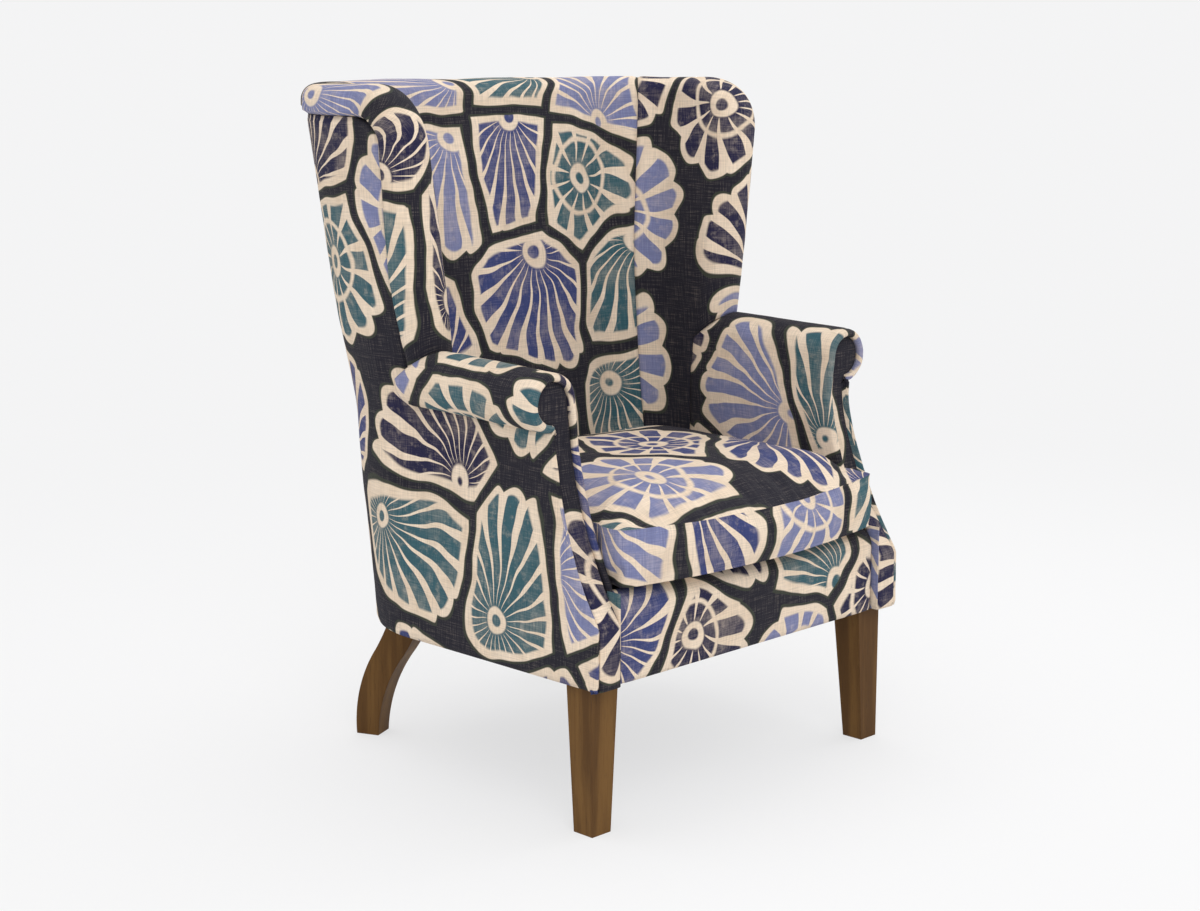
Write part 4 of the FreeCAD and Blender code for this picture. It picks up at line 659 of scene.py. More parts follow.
# Tint and roughness.
STEELS = {"spring_steel": ((0.30, 0.29, 0.28), 0.42), "zinc_steel": ((0.62, 0.62, 0.60), 0.34)}

# Light thread, dark thread and threads to the metre.
PLAIN_CLOTHS = {
    "elastic_webbing": ((0.10, 0.09, 0.085), (0.03, 0.03, 0.03), 260.0),
    "deck_cloth": ((0.075, 0.078, 0.10), (0.035, 0.036, 0.05), 320.0),
    "cushion_filling": ((0.82, 0.80, 0.76), (0.66, 0.63, 0.58), 380.0),
    "zip_tape": ((0.06, 0.06, 0.08), (0.02, 0.02, 0.03), 500.0),
}


@functools.lru_cache(maxsize=None)
def finish_of(slot):
    """The finish of a material slot, made once."""
    if slot in STEELS:
        return steel(slot, *STEELS[slot])
    if slot in PLAIN_CLOTHS:
        return plain_cloth(slot, *PLAIN_CLOTHS[slot])
    return SHOWN[slot]()


# Shapes of the cover pieces.
# Each returns its grids of points, every point with its place on the flat cloth.

LOW_ROWS, HIGH_ROWS = steps(LEG_TOP, PANEL_TOP), steps(PANEL_TOP, BAND)
ROLL_SHARES = spread(29)
WING_COLUMNS, BACK_COLUMNS, PANEL_COLUMNS, ARM_COLUMNS = spread(24), spread(76), spread(50), spread(36)


def level_row(line, shares, z, flat):
    """A row along a plan line. flat gives a place across the cloth from the distance and the whole length."""
    spots, runs = resample(line, shares)
    return [(place(x, y, z), (flat(run, runs[-1]), z)) for (x, y), run in zip(spots, runs)]


def from_end(run, whole):
    return whole - run


def rib(spots, origin, way=(0.0, 1.0)):
    """A row of points, measured over the cloth from an origin in one direction."""
    run, row = 0.0, []
    for k, spot in enumerate(spots):
        if k:
            run += (spot - spots[k - 1]).length
        row.append((spot, (origin[0] + way[0] * run, origin[1] + way[1] * run)))
    return row


def climb(path, k):
    """Length of one stretch of a cross section, none for its first point."""
    return math.dist(path[k], path[k - 1]) if k else 0.0


def squared(share, power):
    """Cosine and sine over half a turn, drawn towards a square as the power grows past 2."""
    c, s = math.cos(math.pi * share), math.sin(math.pi * share)
    return math.copysign(abs(c) ** (2 / power), c), abs(s) ** (2 / power)


def roll_over(inner, outer):
    """Points over the top roll from a point on its inside to one on its outside."""
    spots = []
    for share in ROLL_SHARES:
        c, s = squared(share, TOP_POWER)
        spots.append((inner + outer) / 2 + (inner - outer) / 2 * c + Vector((0, 0, (CREST - SHOULDER) * s)))
    return spots


def round_corner(bow, bend):
    """Depth and height on one of the arcs round the wing's top corner."""
    return TOP_DEPTH - bow[0] * math.cos(bend), BAND_CORNER + bow[1] * math.sin(bend)


def wing_seam_depth(z):
    """Depth of the seam behind the wing roll, which bows back at the top corner."""
    rise = max(0.0, min(1.0, (z - BAND_CORNER) / SEAM_BOW[1]))
    return TOP_DEPTH - SEAM_BOW[0] * math.sqrt(1 - rise * rise)


def facing_inset(z):
    """How far the facing lies behind the front edge of the arm."""
    return 0.001 + 0.009 * smooth(BLOCK, 0.42, z)


def outside_side():
    """Side of the chair: below the arm roll from the front edge, above it from the wing seam."""
    near = []
    for z, sunk in [(z, 0.0) for z in LOW_ROWS] + [(PANEL_TOP + rise, sunk) for rise, sunk in PANEL_HEM]:
        half = station(OUTSIDE, min(z, PANEL_TOP)) - sunk
        begin = front_line(z) + 0.5 * sunk
        inset = facing_inset(z)
        edge = [(0.0120, inset + 0.0110), (0.0085, inset + 0.0045), (0.0056, inset + 0.0012),
                (0.0030, 0.3 * inset + 0.0006), (0.0010, 0.0003)]
        row = []
        for k, (x, y) in enumerate(edge):
            run = sum(math.dist(a, b) for a, b in zip(edge[k:], edge[k + 1:]))
            row.append((arm_place(-half + x, begin + y, z), (begin - WING_SEAM - run, z)))
        start = begin + 0.0015
        for share in spread(44):
            y = start + (WING_SEAM - start) * share
            row.append((arm_place(-half, y, z), (y - WING_SEAM, z)))
        near.append(row)
    far = []
    for z in LOW_ROWS + HIGH_ROWS[1:]:
        begin = wing_seam_depth(z)
        line = [(-station(OUTSIDE, z), begin)] + corner(outside(z), 0.0, 90.0, 2.5)
        far.append(level_row(line, PANEL_COLUMNS, z, lambda run, whole: begin - WING_SEAM + run))
    return [near, far]


def outside_back():
    rows = []
    for z in LOW_ROWS + HIGH_ROWS[1:]:
        half, back, radius = outside(z)
        rows.append([(place(x, back, z), (x, z)) for x in across(half - radius, 36)])
    return [rows]


def inside_back():
    """Inside back from the seat over the top roll to the seam on the outside."""
    def bow(z):
        return 1.0 - 0.55 * smooth(0.88, SHOULDER, z)

    grid = [
        level_row(back_line(z, bow(z)), BACK_COLUMNS, z, lambda run, whole: run - whole / 2)
        for z in steps(SEAT_LEVEL, SHOULDER)
    ]
    start = [flat[0] for _, flat in grid[-1]]
    inner, outer = (
        [place(*spot, SHOULDER) for spot in resample(line, BACK_COLUMNS)[0]]
        for line in (back_line(SHOULDER, bow(SHOULDER)), outer_back_line(SHOULDER, OVERHANG))
    )
    rolls = [roll_over(a, b) for a, b in zip(inner, outer)]
    for k in range(1, len(ROLL_SHARES)):
        row = []
        for x, spots in zip(start, rolls):
            drop = ROLL_CLOTH * ROLL_SHARES[k] * (spots[-1] - spots[0]).length
            row.append((spots[k], (x, SHOULDER + drop)))
        grid.append(row)
    seam = resample(outer_back_line(BAND, 0.0), BACK_COLUMNS)[0]
    grid.append([
        (place(x, y, BAND), (flat[0], flat[1] + ROLL_TO_SEAM)) for (x, y), (_, flat) in zip(seam, grid[-1])
    ])
    return [grid]


def lifted(z, y):
    """Height of a wing point after the wing's foot is slanted to rise to the front."""
    if z >= WING_MIDDLE:
        return z
    foot = WING_FOOT + WING_FOOT_RISE * max(0.0, min(1.0, (WING_SEAM - y) / (WING_SEAM - WING_FRONT)))
    return foot + (z - WING_FOOT) * (WING_MIDDLE - foot) / (WING_MIDDLE - WING_FOOT)


def wing_section(z, c):
    """Side of a point of the wing roll, c running from 1 inside to -1 outside."""
    inner, outer = station(INSIDE, z), station(OUTSIDE, z) + OVERHANG
    return -(inner + outer) / 2 + (outer - inner) / 2 * c


def wing_front(z):
    """Depth at which the wing roll turns into the face of the wing."""
    return WING_FRONT + (station(OUTSIDE, z) + OVERHANG - station(INSIDE, z)) / 2


def wing_face(borders):
    """Inside of the wing, row by row from its front border to the rear seam."""
    face = []
    for z, begin, _ in borders:
        knot = max(WING_SEAM, begin + LIP)
        back = level_row(inner_line(z, knot), WING_COLUMNS, z, from_end)
        row = []
        for share in LIP_SHARES:
            y = begin + (knot - begin) * share
            height = lifted(z, y)
            row.append((place(-station(INSIDE, height), y, height), (back[0][1][0] + knot - y, height)))
        face.append(row + back)
    return face


def wing_roll(borders, face):
    """Roll up the front of the wing and round its top corner, tucked under to the seam."""
    roll = []
    for row, (z, begin, bend) in zip(face, borders):
        crest_y, crest_z = round_corner(CREST_BOW, bend)
        foot_y, foot_z = round_corner(SEAM_BOW, bend)
        spots = []
        for share in ROLL_SHARES:
            c, s = squared(share, 2.0 + (TOP_POWER - 2.0) * smooth(0.2, 1.4, bend))
            if bend:
                spots.append(place(wing_section(z, c), begin + (crest_y - begin) * s, z + (crest_z - z) * s))
            else:
                y = begin - (begin - WING_FRONT) * s
                spots.append(place(wing_section(lifted(z, y), c), y, lifted(z, y)))
        if not bend:
            foot_z = z
        foot = place(-station(OUTSIDE, foot_z), foot_y, foot_z)
        between = (foot + spots[-1]) / 2 - Vector((TUCKED_UNDER, 0, 0))
        roll.append(rib(spots + [between, foot], row[0][1], (math.cos(bend), math.sin(bend))))
    return roll


def wing_top(face):
    """Stretch of the top roll between the wing's corner and the seam of the inside back."""
    tail, tail_runs = resample(inner_line(SHOULDER, TOP_DEPTH + LIP), WING_COLUMNS)
    inner = [(-INSIDE[-1][1], TOP_DEPTH + LIP * share) for share in LIP_SHARES] + tail
    runs = [LIP * share for share in LIP_SHARES] + [LIP + run for run in tail_runs]
    shares = [run / runs[-1] for run in runs]
    outer = resample(outer_wing_line(SHOULDER, OVERHANG), shares)[0]
    seam = resample(outer_wing_line(BAND, 0.0), shares)[0]
    top = []
    for (_, origin), inner_spot, outer_spot, seam_spot in zip(face[-1], inner, outer, seam):
        spots = roll_over(place(*inner_spot, SHOULDER), place(*outer_spot, SHOULDER))
        foot = place(*seam_spot, BAND)
        between = (foot + spots[-1]) / 2 + (spots[-1] - spots[0]).normalized() * TUCKED_UNDER
        top.append(rib(spots + [between, foot], origin))
    return top


def wing():
    """Wing with its rolled front and top, and the padding of the rear corner below it."""
    borders = [(z, wing_front(z), 0.0) for z in steps(WING_FOOT, BAND_CORNER)]
    for bend in steps(0.0, math.pi / 2, math.pi / 26)[1:]:
        depth, height = round_corner(SHOULDER_BOW, bend)
        borders.append((height, depth, bend))
    low = [
        level_row(inner_line(z, WING_SEAM), WING_COLUMNS, z, from_end)
        for z in steps(SEAT_LEVEL, WING_FOOT)
    ]
    face = wing_face(borders)
    return [low, face, wing_roll(borders, face), wing_top(face)]


def arm_place(x, y, z):
    """A point of the arm. Its top falls a little to the front."""
    return place(x, y, z - ARM_FALL * smooth(0.44, 0.60, z) * (1 - smooth(NECK, WING_FRONT, y)))


def arm_path():
    """Cross section of the arm cover with its outward direction: inside face, then round the roll."""
    inner = -INSIDE[0][1]
    path = [(inner, z) for z in steps(SEAT_LEVEL, ARM_BEND)]
    path += [(inner - ARM_BEND_OUT * t * t, ARM_BEND + (ROLL_Z - ARM_BEND) * t) for t in spread(11)[1:-1]]
    for turn in steps(0.0, math.radians(270), 0.12):
        path.append((ROLL_X + ROLL * math.cos(turn), ROLL_Z + ROLL * math.sin(turn)))
    ways = []
    for i in range(len(path)):
        a, b = path[max(i - 1, 0)], path[min(i + 1, len(path) - 1)]
        length = math.dist(a, b)
        ways.append(((b[1] - a[1]) / length, (a[0] - b[0]) / length))
    return path, ways


def arm():
    """Inside arm and arm roll in one piece, turned in round the facing at the front."""
    path, ways = arm_path()
    rows, up = [], 0.0
    for i, ((x, z), (wx, wz)) in enumerate(zip(path, ways)):
        up += climb(path, i)
        swell = ARM_SWELL * smooth(SEAT_LEVEL, 0.46, z) * (1 - smooth(0.50, 0.60, z)) if x > -0.28 else 0.0
        line = front_line(z)
        start = line + ARM_EDGE_END
        stop = ARM_BACK - ARM_BACK_LEAN * max(0.0, z - WING_FOOT)
        spots = [arm_place(x - wx * inward, line + y, z - wz * inward) for inward, y in ARM_EDGE]
        for share in ARM_COLUMNS:
            y = start + (stop - start) * share
            bulge = swell * math.sin(math.pi * share) ** 0.5
            if z > GATHERED_ABOVE:
                gathers = math.sin(up * GATHER_PITCH + 2 * math.sin(up * GATHER_DRIFT))
                bulge += GATHER * gathers * math.exp((line - y) / GATHER_REACH)
            spots.append(arm_place(x + wx * bulge, y, z + wz * bulge))
        rows.append(rib(spots, (ARM_EDGE_CLOTH, up), (1.0, 0.0)))
    return [rows]


def facing_span(z):
    """Outer and inner edge of the facing at a height."""
    drop = FACING_HEAD**2 - (z - ROLL_Z) ** 2
    if z > ROLL_Z:
        reach = math.sqrt(max(drop, 0.0))
        return ROLL_X - reach, ROLL_X + reach
    outer = FACING_EDGE - station(OUTSIDE, z) - FACING_TUCK * smooth(0.548, 0.556, z)
    if drop > 0:
        outer = min(outer, ROLL_X - math.sqrt(drop))
    edge = ((SEAT_LEVEL, FACING_FOOT_IN), (FACING_NECK, FACING_NECK_IN), (WAIST, FACING_NECK_IN),
            (ROLL_Z, ROLL_X + FACING_HEAD))
    return outer, straight_station(edge, max(z, SEAT_LEVEL))


def facing():
    """Scroll shaped panel on the arm front, lightly padded."""
    heights = steps(LEG_TOP, 0.566, 0.007) + steps(0.5685, 0.5745, 0.0015) + steps(0.578, 0.625, 0.004)
    rows = []
    for z in heights + [0.628, 0.6300, 0.6313, 0.6319]:
        outer, inner = facing_span(z)
        row = []
        for share in spread(13):
            x = outer + (inner - outer) * (0.5 - 0.5 * math.cos(math.pi * share))
            pad = FACING_PAD * (1 - (2 * share - 1) ** 4) * (1 - smooth(0.612, 0.632, z))
            row.append((arm_place(x, front_line(z) + facing_inset(z) - pad + 0.001, z), (x, z)))
        rows.append(row)
    return [rows]


def border():
    """Front border below the cushion, turned over the padded edge of the seat."""
    bend = DECK_LEVEL - BORDER_ROUND
    path = [(BORDER_LINE, z) for z in steps(LEG_TOP, bend, 0.007)]
    path += [
        (BORDER_LINE + BORDER_ROUND * (1 - math.cos(a)), bend + BORDER_ROUND * math.sin(a))
        for a in steps(0.0, math.pi / 2, 0.2)[1:]
    ]
    path += [(BORDER_LINE + y, DECK_LEVEL) for y in (0.020, 0.024, BORDER_DEPTH)]
    rows, up = [], 0.0
    for i, (y, z) in enumerate(path):
        up += climb(path, i)
        pad = BORDER_PAD * (1 - 0.8 * smooth(0.312, DECK_LEVEL, z))
        belly = BORDER_BELLY * smooth(LEG_TOP, 0.25, z) * (1 - smooth(0.31, 0.34, z))
        row = []
        for x in across(BORDER_HALF, 70):
            end = abs(x / BORDER_HALF)
            row.append((place(x, y - belly * (1 - end**4) - pad * (1 - 0.4 * end**24), z), (x, up)))
        rows.append(row)
    return [rows]


def deck():
    """Padded deck under the loose cushion."""
    rows = []
    for y in steps(BORDER_LINE + BORDER_DEPTH, DECK_BACK, 0.012):
        half = DECK_HALF
        if y > DECK_TURN:
            half += math.sqrt(max(DECK_CORNER**2 - (y - DECK_TURN) ** 2, 0.0)) - DECK_CORNER
        puff = DECK_PUFF * smooth(0.05, 0.12, y) * (1 - smooth(0.40, 0.47, y))
        level = DECK_LEVEL - DECK_SUNK
        rows.append([(place(x, y, level + puff * (1 - (x / 0.30) ** 4)), (x, y)) for x in across(half, 44)])
    return [rows]


def block_return():
    """Inner side of the foot of the arm front, turned in to the front border."""
    depths = (0.0016, 0.0030, 0.0060, 0.0100, 0.0150, 0.0200, 0.0260)
    return [[
        [(place(FACING_FOOT_IN + (0.0006 if y == depths[0] else 0.0), y, z), (y, z)) for y in depths]
        for z in steps(LEG_TOP, SEAT_LEVEL + 0.004)
    ]]


def underside():
    """Dust cover stapled under the seat rails."""
    low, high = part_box("dust_cover")
    rows = []
    for y in steps(low.y - FRONT + 0.001, high.y - FRONT - 0.001, 0.015):
        half = -low.x - 0.001
        if y > DUST_TURN:
            half = 0.124 + math.sqrt(max(DUST_CORNER**2 - (y - DUST_TURN) ** 2, 0.0))
        sag = DUST_SAG * max(0.0, 1 - ((y - 0.28) / 0.28) ** 2)
        level = high.z - 0.0008
        rows.append([(place(x, y, level - sag * (1 - (x / 0.31) ** 2)), (x, y)) for x in across(half, 40)])
    return [rows]


# The loose cushion.

def cushion_outline(z):
    """Plan line of the cushion, counterclockwise from the middle of its front."""
    rear = station(INSIDE_BACK, z) - BACK_CROWN - 0.0015
    near, front, back = CUSHION_FRONT, CUSHION_FRONT_CORNER, CUSHION_REAR_CORNER
    arm_front = front_line(z)

    def side(y):
        """Half width, with the front corners swelling out ahead of the arms."""
        return CUSHION_HALF + CUSHION_EAR * (1 - smooth(arm_front - 0.016, arm_front - 0.001, y))

    edge = side(near) - front
    line = [(x, near - CUSHION_SWELL * (1 - (x / edge) ** 2)) for x in steps(0.0, edge, 0.008)]
    for a in steps(-90.0, 0.0, 9.0)[1:]:
        y = near + front + front * math.sin(math.radians(a))
        line.append((side(y) - front + front * math.cos(math.radians(a)), y))
    first, last = near + front, rear - back
    for y in steps(first, last, 0.010)[1:-1]:
        t = (y - first) / (last - first)
        line.append((side(y) - CUSHION_DRAW * 4 * t * (1 - t), y))
    flat = CUSHION_HALF - back
    for a in steps(0.0, 90.0, 6.0):
        line.append((flat + back * math.cos(math.radians(a)), last + back * math.sin(math.radians(a))))
    line += [(x, rear - CUSHION_DRAW * (1 - (x / flat) ** 2)) for x in steps(flat, 0.0, 0.010)[1:-1]]
    return line + [(0.0, rear - CUSHION_DRAW)] + [(-x, y) for x, y in reversed(line)]


def rim_share(a, b):
    """Share of the way round the square for a point on its edge, from the middle of the front."""
    if b <= -1 + 1e-9 and a >= 0:
        return a / 8
    if a >= 1 - 1e-9:
        return (2 + b) / 8
    if b >= 1 - 1e-9:
        return (4 - a) / 8
    if a <= -1 + 1e-9:
        return (6 - b) / 8
    return (8 + a) / 8


def rim(z):
    """The cushion's edge at a height, as a rule from a share of the way round to a point.
    The corners of the square grid fall on the corners of the cushion."""
    line = cushion_outline(z)
    runs = [0.0]
    for a, b in zip(line, line[1:]):
        runs.append(runs[-1] + math.dist(a, b))
    front = max(range(len(line)), key=lambda i: line[i][0] - line[i][1])
    rear = max(range(len(line)), key=lambda i: line[i][0] + line[i][1])
    near, far = runs[front] / runs[-1], runs[rear] / runs[-1]
    knots = [(0.0, 0.0), (0.125, near), (0.375, far), (0.625, 1 - far), (0.875, 1 - near), (1.0, 1.0)]
    return lambda share: resample(line, [min(straight_station(knots, share), 1.0)])[0][0]


def uneven(x, y, pitch, layer):
    return noise.noise(Vector((x * pitch, y * pitch, layer)))


def seam_line(x, y):
    """The seam rides lower along the front and a little up and down elsewhere."""
    front = 1 - smooth(0.0, 0.10, y)
    return -0.005 * front * (1 - (x / CUSHION_HALF) ** 2) + 0.0015 * uneven(x, y, 18, 0.5)


def crown(inset, x, y):
    """Height of the cushion's top over its seam, with a ridge beside the seam and soft folds."""
    t = min(inset / CROWN_REACH, 1.0)
    top = CUSHION_CROWN * (1 - (1 - t) ** 2.7) - SEAM_RIDGE * smooth(0.0, 0.003, inset) * (1 - t) ** 6
    folds = 0.0016 * uneven(x, y, 14, 3.0) + 0.0035 * uneven(x, y, 5, 8.0)
    return top + folds * smooth(0.0, 0.07, inset) + seam_line(x, y)


def hollow(inset, x, y):
    """The same for its flatter underside."""
    return -0.008 * smooth(0.0, 0.046, inset) + 0.3 * seam_line(x, y)


def cushion_bulge(x, y):
    """How far the middle of the cushion's border stands out, with its puckers."""
    front = 1 - smooth(0.0, 0.08, y)
    pucker = 0.0012 * math.sin(x * 170 + 2 * math.sin(x * 31)) + 0.0012 * math.sin(y * 150)
    return 0.010 * front * (1 - (x / CUSHION_HALF) ** 4) - 0.003 * (1 - front) + 0.003 * front + pucker


def cushion_panel(mesh, cloth, z, rise, below):
    """Top or underside of the cushion from a square grid. Returns the ring of its edge points."""
    edge = rim(z)
    count = CUSHION_CELLS
    axis = [-1.0] + [SEAM_ROW * (2 * i / (count - 2) - 1) for i in range(count - 1)] + [1.0]
    rows, flat = [], []
    for b in axis:
        row, spots = [], []
        for a in axis:
            m = max(abs(a), abs(b))
            x, y = 0.0, CUSHION_MIDDLE
            if m > 1e-9:
                ex, ey = edge(rim_share(a / m, b / m))
                x, y = ex * m, y + (ey - y) * m
            row.append(mesh.verts.new(place(x, y, z + rise((1 - m) * CUSHION_REACH, x, y))))
            spots.append((x, y + (UNDER_CUT if below else 0.0)))
        rows.append(row)
        flat.append(spots)
    for i in range(count):
        for j in range(count):
            corners = [(i, j), (i, j + 1), (i + 1, j + 1), (i + 1, j)]
            if below:
                corners = corners[::-1]
            face = mesh.faces.new([rows[p][q] for p, q in corners])
            for loop, (p, q) in zip(face.loops, corners):
                loop[cloth].uv = flat[p][q]
    front, rear = rows[0], rows[count]
    sides = [row[count] for row in rows[:count]] + rear[count:0:-1] + [row[0] for row in rows[count:0:-1]]
    return front[count // 2:count] + sides + front[:count // 2]


def cushion_mesh():
    """The cushion as one closed skin: underside, drawn border and crowned top."""
    mesh = bmesh.new()
    cloth = mesh.loops.layers.uv.new("cloth")
    seams = mesh.verts.layers.float.new("seam")
    upper = cushion_panel(mesh, cloth, CUSHION_LOW + CUSHION_BORDER, crown, False)
    lower = cushion_panel(mesh, cloth, CUSHION_LOW, hollow, True)
    count = len(upper)
    rings = [lower]
    shares = [SEAM_RING + (1 - 2 * SEAM_RING) * k / BORDER_ROWS for k in range(BORDER_ROWS + 1)]
    shares = [0.0] + shares + [1.0]
    for share in shares[1:-1]:
        ring = []
        middle = 4 * share * (1 - share)
        for low, high in zip(lower, upper):
            spot = low.co + (high.co - low.co) * share
            x, y = spot.x, spot.y - FRONT
            puff = cushion_bulge(x, y) * middle - SEAM_RIDGE * min(1.0, middle * 8)
            ring.append(mesh.verts.new(spot + Vector((x, y - CUSHION_MIDDLE, 0)).normalized() * puff))
        rings.append(ring)
    rings.append(upper)
    runs = [0.0]
    for i in range(count):
        runs.append(runs[-1] + (upper[(i + 1) % count].co - upper[i].co).length)
    for k in range(len(rings) - 1):
        for i in range(count):
            j = (i + 1) % count
            face = mesh.faces.new([rings[k][i], rings[k][j], rings[k + 1][j], rings[k + 1][i]])
            back = runs[-1] if i >= count // 2 else 0.0
            spots = [(runs[i], k), (runs[i + 1], k), (runs[i + 1], k + 1), (runs[i], k + 1)]
            for loop, (run, level) in zip(face.loops, spots):
                loop[cloth].uv = (run - back + BORDER_CUT[0], shares[level] * CUSHION_BORDER + BORDER_CUT[1])
    for vertex in upper + lower:
        vertex[seams] = 1.0
    bmesh.ops.recalc_face_normals(mesh, faces=mesh.faces)
    mesh.normal_update()
    return mesh


def settle(piece):
    """Let the cushion cover, cut a little full, fill out against its filling between the seams.
    Its sides and underside, which the chair holds, move much less than its top and front."""
    data = piece.data
    seams = piece.vertex_groups.new(name="seams")
    seams.add([i for i, item in enumerate(data.attributes["seam"].data) if item.value > 0.5], 1.0, "REPLACE")
    rest = [vertex.co.copy() for vertex in data.vertices]
    cloth = piece.modifiers.new("settling", "CLOTH")
    cover = cloth.settings
    cover.quality = 5
    cover.mass = 0.25
    cover.tension_stiffness = cover.compression_stiffness = 18
    cover.shear_stiffness = 6
    cover.bending_stiffness = 0.35
    cover.use_pressure = True
    cover.uniform_pressure_force = 4.0
    cover.shrink_min = cover.shrink_max = -CUSHION_FULLNESS
    cover.vertex_group_mass = seams.name
    cover.effector_weights.gravity = 0.0
    cloth.collision_settings.use_collision = False
    cloth.point_cache.frame_start = 1
    cloth.point_cache.frame_end = SETTLING_FRAMES
    scene = bpy.context.scene
    for frame_number in range(1, SETTLING_FRAMES + 1):
        scene.frame_set(frame_number)
    seen = piece.evaluated_get(bpy.context.evaluated_depsgraph_get())
    settled = [vertex.co.copy() for vertex in seen.data.vertices]
    piece.modifiers.remove(cloth)
    scene.frame_set(1)
    if len(settled) != len(rest):
        raise RuntimeError("the settled cushion has other points than the drawn one")
    for vertex, before, after in zip(data.vertices, rest, settled):
        depth = before.y - FRONT
        held = max(smooth(0.235, 0.262, abs(before.x)) * smooth(0.03, 0.08, depth), smooth(0.38, 0.42, depth))
        below = 1 - smooth(0.0, 0.012, before.z - CUSHION_LOW)
        limit = MOST_MOVE - (MOST_MOVE - LEAST_MOVE) * max(held, below)
        move = after - before
        if move.length > limit:
            move *= limit / move.length
        vertex.co = before + move


# Properties and operators.

def colour(name, description, default):
    return FloatVectorProperty(name=name, description=description, default=default, size=3, subtype="COLOR")


def length(name, description, default, least=0.0):
    return FloatProperty(
        name=name, description=description, default=default, min=least, precision=4, subtype="DISTANCE",
        unit="LENGTH")


class ArmchairLook(bpy.types.PropertyGroup):
    motif: length("Motif", "Size of one motif of the print", 0.205, 0.02)
    thread: length("Thread", "From one thread of the linen to the next", 0.0011, 0.0002)
    cream: colour("Cream", "Unprinted linen", (0.85, 0.705, 0.555))
    cream_deep: colour("Deep cream", "Unprinted linen where it is darker", (0.775, 0.622, 0.47))
    charcoal: colour("Charcoal", "Ground of the print", (0.0178, 0.0168, 0.0262))
    navy: colour("Navy", "Darkest ink", (0.018, 0.017, 0.055))
    blue: colour("Blue", "Blue ink", (0.048, 0.062, 0.185))
    periwinkle: colour("Periwinkle", "Pale violet blue ink", (0.200, 0.220, 0.395))
    teal: colour("Teal", "Green blue ink", (0.042, 0.113, 0.140))
    olive: colour("Olive", "Thin line round each motif", (0.045, 0.050, 0.038))
    walnut_dark: colour("Dark walnut", "Dark grain of the legs", (0.086, 0.039, 0.010))
    walnut_light: colour("Light walnut", "Light grain of the legs", (0.160, 0.080, 0.022))
    seam_depth: length("Seam depth", "How far the cloth is drawn down at a seam", 0.0020)
    seam_width: length("Seam width", "How far from a seam the cloth starts to dip", 0.010, 0.001)
    ripple: length("Ripple", "Unevenness of the padding", 0.0016)
    floor: colour("Floor", "Colour of the floor and the background", (0.905, 0.905, 0.91))
    daylight: FloatProperty(
        name="Daylight", description="Even light from all round", default=0.88, min=0.0)
    lamp: FloatProperty(
        name="Lamp", description="Large soft lamp at the front left", default=41.0, min=0.0, subtype="POWER",
        unit="POWER")


SIDES = (("left", -1), ("right", 1))


class PieceOperator:
    bl_options = {"REGISTER", "UNDO"}


class ARMCHAIR_OT_stage(PieceOperator, bpy.types.Operator):
    """Pale floor, soft studio light and the camera"""
    bl_idname = "armchair.stage"
    bl_label = "Stage"

    def execute(self, context):
        look = settings()
        scene = context.scene
        scene.view_settings.view_transform = "Standard"
        mesh = bmesh.new()
        bmesh.ops.create_circle(mesh, cap_ends=True, radius=60.0, segments=96)
        data = bpy.data.meshes.new("floor")
        mesh.to_mesh(data)
        mesh.free()
        data.materials.append(floor_finish(look.floor))
        floor = bpy.data.objects.new("floor", data)
        scene.collection.objects.link(floor)
        scene.world = studio(look)
        for name, spot, width, power in (
            ("key_lamp", (-1.9, -2.6, 2.9), 2.2, look.lamp),
            ("fill_lamp", (3.0, -0.6, 2.2), 2.4, look.lamp * 0.45),
            ("top_lamp", (0.2, 0.6, 3.4), 2.6, look.lamp * 0.45),
        ):
            lamp = bpy.data.lights.new(name, "AREA")
            lamp.shape = "DISK"
            lamp.size = width
            lamp.energy = power
            holder = bpy.data.objects.new(name, lamp)
            holder.location = spot
            holder.rotation_euler = (Vector((0, 0, 0.5)) - Vector(spot)).to_track_quat("-Z", "Y").to_euler()
            scene.collection.objects.link(holder)
        lens = bpy.data.cameras.new("camera")
        lens.lens = 64.67
        lens.sensor_width = 36.0
        camera = bpy.data.objects.new("camera", lens)
        camera.location = (-2.2922, -2.2802, 1.0776)
        camera.rotation_euler = (math.radians(79.0), 0.0, math.radians(-45.2))
        scene.collection.objects.link(camera)
        scene.camera = camera
        return {"FINISHED"}


class ARMCHAIR_OT_outside(PieceOperator, bpy.types.Operator):
    """Outside panels of both sides and the back"""
    bl_idname = "armchair.outside"
    bl_label = "Outside panels"

    def execute(self, context):
        core = away_from(0.0, 0.30, 0.55)
        for side, _ in SIDES:
            cover_piece(side + "_outside_cover", outside_side(), core, side + "_outside_panel")
        cover_piece("outside_back_cover", outside_back(), core, "outside_back_panel")
        return {"FINISHED"}


class ARMCHAIR_OT_inside_back(PieceOperator, bpy.types.Operator):
    """Inside back with its stretch of the top roll"""
    bl_idname = "armchair.inside_back"
    bl_label = "Inside back"

    def execute(self, context):
        cover_piece("inside_back_cover", inside_back(), away_from(0.0, 0.60, 0.62), "inside_back")
        return {"FINISHED"}


class ARMCHAIR_OT_wings(PieceOperator, bpy.types.Operator):
    """Both wings with their rolled edges"""
    bl_idname = "armchair.wings"
    bl_label = "Wings"

    def execute(self, context):
        for side, way in SIDES:
            core = away_from(way * 0.335, 0.48, 0.78)
            cover_piece(side + "_wing_cover", wing(), core, side + "_inside_wing", hem=0.014)
        return {"FINISHED"}


